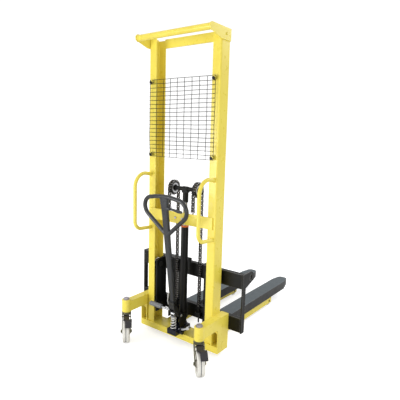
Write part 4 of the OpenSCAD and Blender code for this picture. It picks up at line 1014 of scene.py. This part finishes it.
class STACKER_OT_lift(bpy.types.Operator):
    """Finish the cylinder, piston head, sprockets and pump"""
    bl_idname = "stacker.lift"
    bl_label = "Lift and pump"

    def execute(self, context):
        for node in ("cylinder_tube", "pump_bracket", "sprocket_yoke"):
            dressed_copy(node, "black", PUMP_EDGE, "black edge highlight and wear")
        dressed_copy("pump_block", "blue black", PUMP_EDGE, "black edge highlight and wear")
        dressed_copy("cylinder_ring", "seal", TURNED_EDGE)
        for node in ("piston_rod", "sprocket_axle"):
            dressed_copy(node, "ground", FINE_EDGE)
        for side in SIDES:
            self.sprocket(side)
        dressed_copy("plunger", "ground", TURNED_EDGE)
        self.spring(context.scene.stacker_spring)
        return {"FINISHED"}

    def sprocket(self, side):
        """The dark toothed plate, with a bright ground ring on each side of its shoulder."""
        proud, bore, rim = 0.0003, 0.0225, 0.033
        node = "sprocket_" + side
        dressed_copy(node, "sprocket", 0.0005, segments=1)
        low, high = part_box(node)
        face = -(high.x - low.x) / 2 - proud
        ring = rounded(mirrored([(face, bore), (face, rim)]), TURNED_EDGE, 2)
        obj = turned("ring", ring, axle("sprocket_turn_" + side), 48, "zinc")
        hand_over(obj, node + "_ring", BODY_OF[node])

    def spring(self, spring):
        """A coil whose first and last turns lie close."""
        low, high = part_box("plunger_spring")
        centre = (low + high) / 2
        radius = (spring.outer - spring.wire) / 2
        z0 = low.z + spring.wire / 2
        z1 = high.z - spring.wire / 2
        lead = spring.wire * 1.12
        end, turns, steps = 0.75, spring.turns, 40
        free = z1 - z0 - 2 * lead
        points = []
        for i in range(turns * steps + 1):
            t = i / steps
            if t < end:
                z = z0 + lead * t / end
            elif t > turns - end:
                z = z1 - lead * (turns - t) / end
            else:
                z = z0 + lead + free * (t - end) / (turns - 2 * end)
            a = 2 * math.pi * t
            points.append(Vector((centre.x + radius * math.cos(a), centre.y + radius * math.sin(a), z)))
        obj = tube("coil", points, spring.wire / 2, 3, "cover")
        hand_over(obj, "plunger_spring_coil", "frame", "plunger_spring")
        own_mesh(obj)


class STACKER_OT_carriage(bpy.types.Operator):
    """Round and paint the carriage, forks and rollers"""
    bl_idname = "stacker.carriage"
    bl_label = "Carriage and forks"

    def execute(self, context):
        for node in ("carriage_upper_plate", "carriage_lower_plate", "carriage_end_left",
                     "carriage_end_right", "roller_plates", "front_chain_anchors"):
            dressed_copy(node, "black", PLATE_EDGE, "black edge highlight and wear", 3)
        for node in ("fork_left", "fork_right"):
            dressed_copy(node, "fork black with top sheen", PLATE_EDGE, "black edge highlight and wear", 3)
        dressed_copy("roller_stubs", "cast", TURNED_EDGE)
        for end in ("upper_left", "upper_right", "lower_left", "lower_right"):
            dressed_copy("mast_roller_" + end, "ground", FINE_EDGE)
        return {"FINISHED"}


class STACKER_OT_casters(bpy.types.Operator):
    """Turn the wheels and finish the caster forks and brakes"""
    bl_idname = "stacker.casters"
    bl_label = "Casters and wheels"

    def execute(self, context):
        boss_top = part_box("caster_bosses")[1].z
        for side in SIDES:
            # Its rounded edges get bright ground steel as painted glints.
            fork = dressed_copy("caster_fork_" + side, "olive", 0.001, "ground")
            repaint(fork, "dull zinc", lambda c: c.z > boss_top - 0.0005)
            dressed_copy("caster_brake_" + side, "plastic", 0.0014, "black edge highlight and wear")
            self.caster_wheel(side)
            self.load_wheel(side)
        return {"FINISHED"}

    def caster_wheel(self, side):
        """A white wheel on a grey hub, with painted shade as a dark grey line in the groove round its tread, and a
        dark cap at each end.
        """
        node = "caster_wheel_" + side
        about = axle("caster_roll_" + side)
        half = [(-0.0259, 0.0063), (-0.0259, 0.019), (-0.0235, 0.0225), (-0.013, 0.026), (-0.0125, 0.053),
                (-0.019, 0.0565), (-0.0224, 0.062), (-0.0229, 0.069), (-0.020, 0.0738), (-0.0165, 0.0749),
                (-0.0022, 0.0749), (-0.0012, 0.0722)]
        wheel = turned("wheel", rounded(mirrored(half), 0.0018, 2), about, 96, "nylon")
        along, centre = Vector(about[0]).normalized(), Vector(about[1])
        hub_radius, groove_shade = 0.0545, 0.0021
        repaint(wheel, "hub", lambda c: (c - centre - along * (c - centre).dot(along)).length < hub_radius)
        # The groove round the middle of the tread is painted dark grey as painted shade.
        repaint(wheel, "rubber", lambda c: abs((c - centre).dot(along)) < groove_shade)
        parts = [wheel]
        for sign in (-1, 1):
            inner, outer = sign * 0.0245, sign * 0.0261
            cap = [(inner, 0.0064), (outer, 0.0064), (outer, 0.0155), (inner, 0.0165)]
            parts.append(turned("cap", cap, about, 48, "chain"))
        stand_in(joined(parts, node), node, "_turned")

    def load_wheel(self, side):
        """A white roller with a shallow groove round each face."""
        node = "load_wheel_" + side
        low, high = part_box(node)
        face, tread = -(high.x - low.x) / 2, (high.z - low.z) / 2
        step = 0.003
        half = [(face, 0.0101), (face, 0.019), (face + step, 0.021), (face + step, 0.029), (face, 0.031),
                (face, tread - step), (face + step, tread)]
        wheel = turned("wheel", rounded(mirrored(half), 0.0012, 2), axle("load_roll_" + side), 72, "nylon")
        stand_in(wheel, node, "_turned")


class STACKER_OT_handle(bpy.types.Operator):
    """Cast the loop handle and its rocker and finish the levers"""
    bl_idname = "stacker.handle"
    bl_label = "Handle and levers"

    def execute(self, context):
        cast_copy("drawbar", "grey", voxel=0.0026, passes=6, swell=0.0018)
        dressed_copy("rocker", "cast", 0.0022, "black edge highlight and wear")
        dressed_copy("rocker_roller", "ground", TURNED_EDGE)
        self.foot_pedal()
        dressed_copy("finger_lever", "grey", 0.002)
        dressed_copy("release_lever", "zinc", PLATE_EDGE)
        cable = dressed_copy("release_cable", "cover", 0.0001, segments=1, angle=80.0)
        smooth_by_angle(cable.data, 60.0)
        return {"FINISHED"}

    def foot_pedal(self):
        """A ribbed rubber sleeve on a bright rod."""
        low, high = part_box("foot_pedal")
        r = (high.z - low.z) / 2
        about = (1, 0, 0), (0, (low.y + high.y) / 2, (low.z + high.z) / 2)
        length, bore, rod_radius, core = 0.104, 0.0066, 0.007, 0.0004
        ribs, first_rib, rib_step = 7, 0.014, 0.0115
        x0, x1 = low.x, low.x + length
        sleeve = [(x0, bore), (x0, r * 0.82), (x0 + 0.004, r)]
        for k in range(ribs):
            rib = x0 + first_rib + k * rib_step
            sleeve += [(rib, r), (rib + 0.001, r * 0.9), (rib + 0.0028, r * 0.9), (rib + 0.0038, r)]
        sleeve += [(x1 - 0.005, r), (x1, r * 0.84), (x1, bore)]
        grip = turned("grip", rounded(sleeve, 0.0006, 1), about, 40, "rubber")
        rod = [(x0 + 0.002, core), (x0 + 0.002, rod_radius), (high.x, rod_radius), (high.x, core)]
        bar = turned("bar", rounded(rod, 0.0006, 1), about, 32, "ground")
        stand_in(joined([grip, bar], "foot_pedal"), "foot_pedal", "_sleeved")


class STACKER_OT_welds(bpy.types.Operator):
    """Run the weld beads where the plates meet"""
    bl_idname = "stacker.welds"
    bl_label = "Welds"

    def execute(self, context):
        foot_bead, seam_bead, ring_bead = 0.0032, 0.003, 0.0024
        inset, short, off = 0.008, 0.009, 0.0005
        grab = context.scene.stacker_grab
        beads = beads_tree()
        for side, sign in zip(SIDES, (-1, 1)):
            low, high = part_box("mast_upright_" + side)
            x_in, x_out = (low.x, high.x) if sign > 0 else (high.x, low.x)
            foot = [(x_in, low.y, low.z), (x_out - sign * short, low.y, low.z)]
            weld(beads, "weld_upright_foot_" + side, foot, foot_bead)
            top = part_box("outrigger_" + side)[1].z
            seam = [(x_out, low.y + inset, top), (x_out, high.y - inset, top)]
            weld(beads, "weld_outrigger_top_" + side, seam, seam_bead)
            grab_low, grab_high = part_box("grab_handle_" + side)
            x = (grab_low.x + grab_high.x) / 2
            r = (grab_high.x - grab_low.x) / 2 + off
            for end, z in (("high", grab.top), ("low", grab.low)):
                turns = [2 * math.pi * k / 24 for k in range(24)]
                ring = [(x + r * math.cos(a), grab_high.y - 0.001, z + r * math.sin(a)) for a in turns]
                weld(beads, f"weld_grab_{side}_{end}", ring, ring_bead, closed=True)
        return {"FINISHED"}


class STACKER_PT_panel(bpy.types.Panel):
    """Buttons for each piece of the stacker"""
    bl_label = "Hand stacker"
    bl_idname = "STACKER_PT_panel"
    bl_space_type = "VIEW_3D"
    bl_region_type = "UI"
    bl_category = "Stacker"

    def draw(self, context):
        for operator in OPERATORS:
            self.layout.operator(operator.bl_idname)
        for group in SETTINGS:
            values = getattr(context.scene, group)
            box = self.layout.box()
            for key in values.__annotations__:
                box.prop(values, key)


OPERATORS = (STACKER_OT_finishes, STACKER_OT_stage, STACKER_OT_mast, STACKER_OT_guard, STACKER_OT_chains,
             STACKER_OT_lift, STACKER_OT_carriage, STACKER_OT_casters, STACKER_OT_handle, STACKER_OT_welds)
SETTINGS = {"stacker_paint": PaintSettings, "stacker_chain": ChainSettings, "stacker_grab": GrabSettings,
            "stacker_guard": GuardSettings, "stacker_spring": SpringSettings, "stacker_stage": StageSettings}


def register():
    for group in SETTINGS.values():
        bpy.utils.register_class(group)
    for operator in OPERATORS:
        bpy.utils.register_class(operator)
    bpy.utils.register_class(STACKER_PT_panel)
    for name, group in SETTINGS.items():
        setattr(bpy.types.Scene, name, PointerProperty(type=group))


def unregister():
    for name in SETTINGS:
        delattr(bpy.types.Scene, name)
    bpy.utils.unregister_class(STACKER_PT_panel)
    for operator in reversed(OPERATORS):
        bpy.utils.unregister_class(operator)
    for group in reversed(SETTINGS.values()):
        bpy.utils.unregister_class(group)


def main():
    register()
    for operator in OPERATORS:
        getattr(bpy.ops.stacker, operator.bl_idname.removeprefix("stacker."))()
    bpy.context.view_layer.update()


if __name__ == "__main__":
    main()
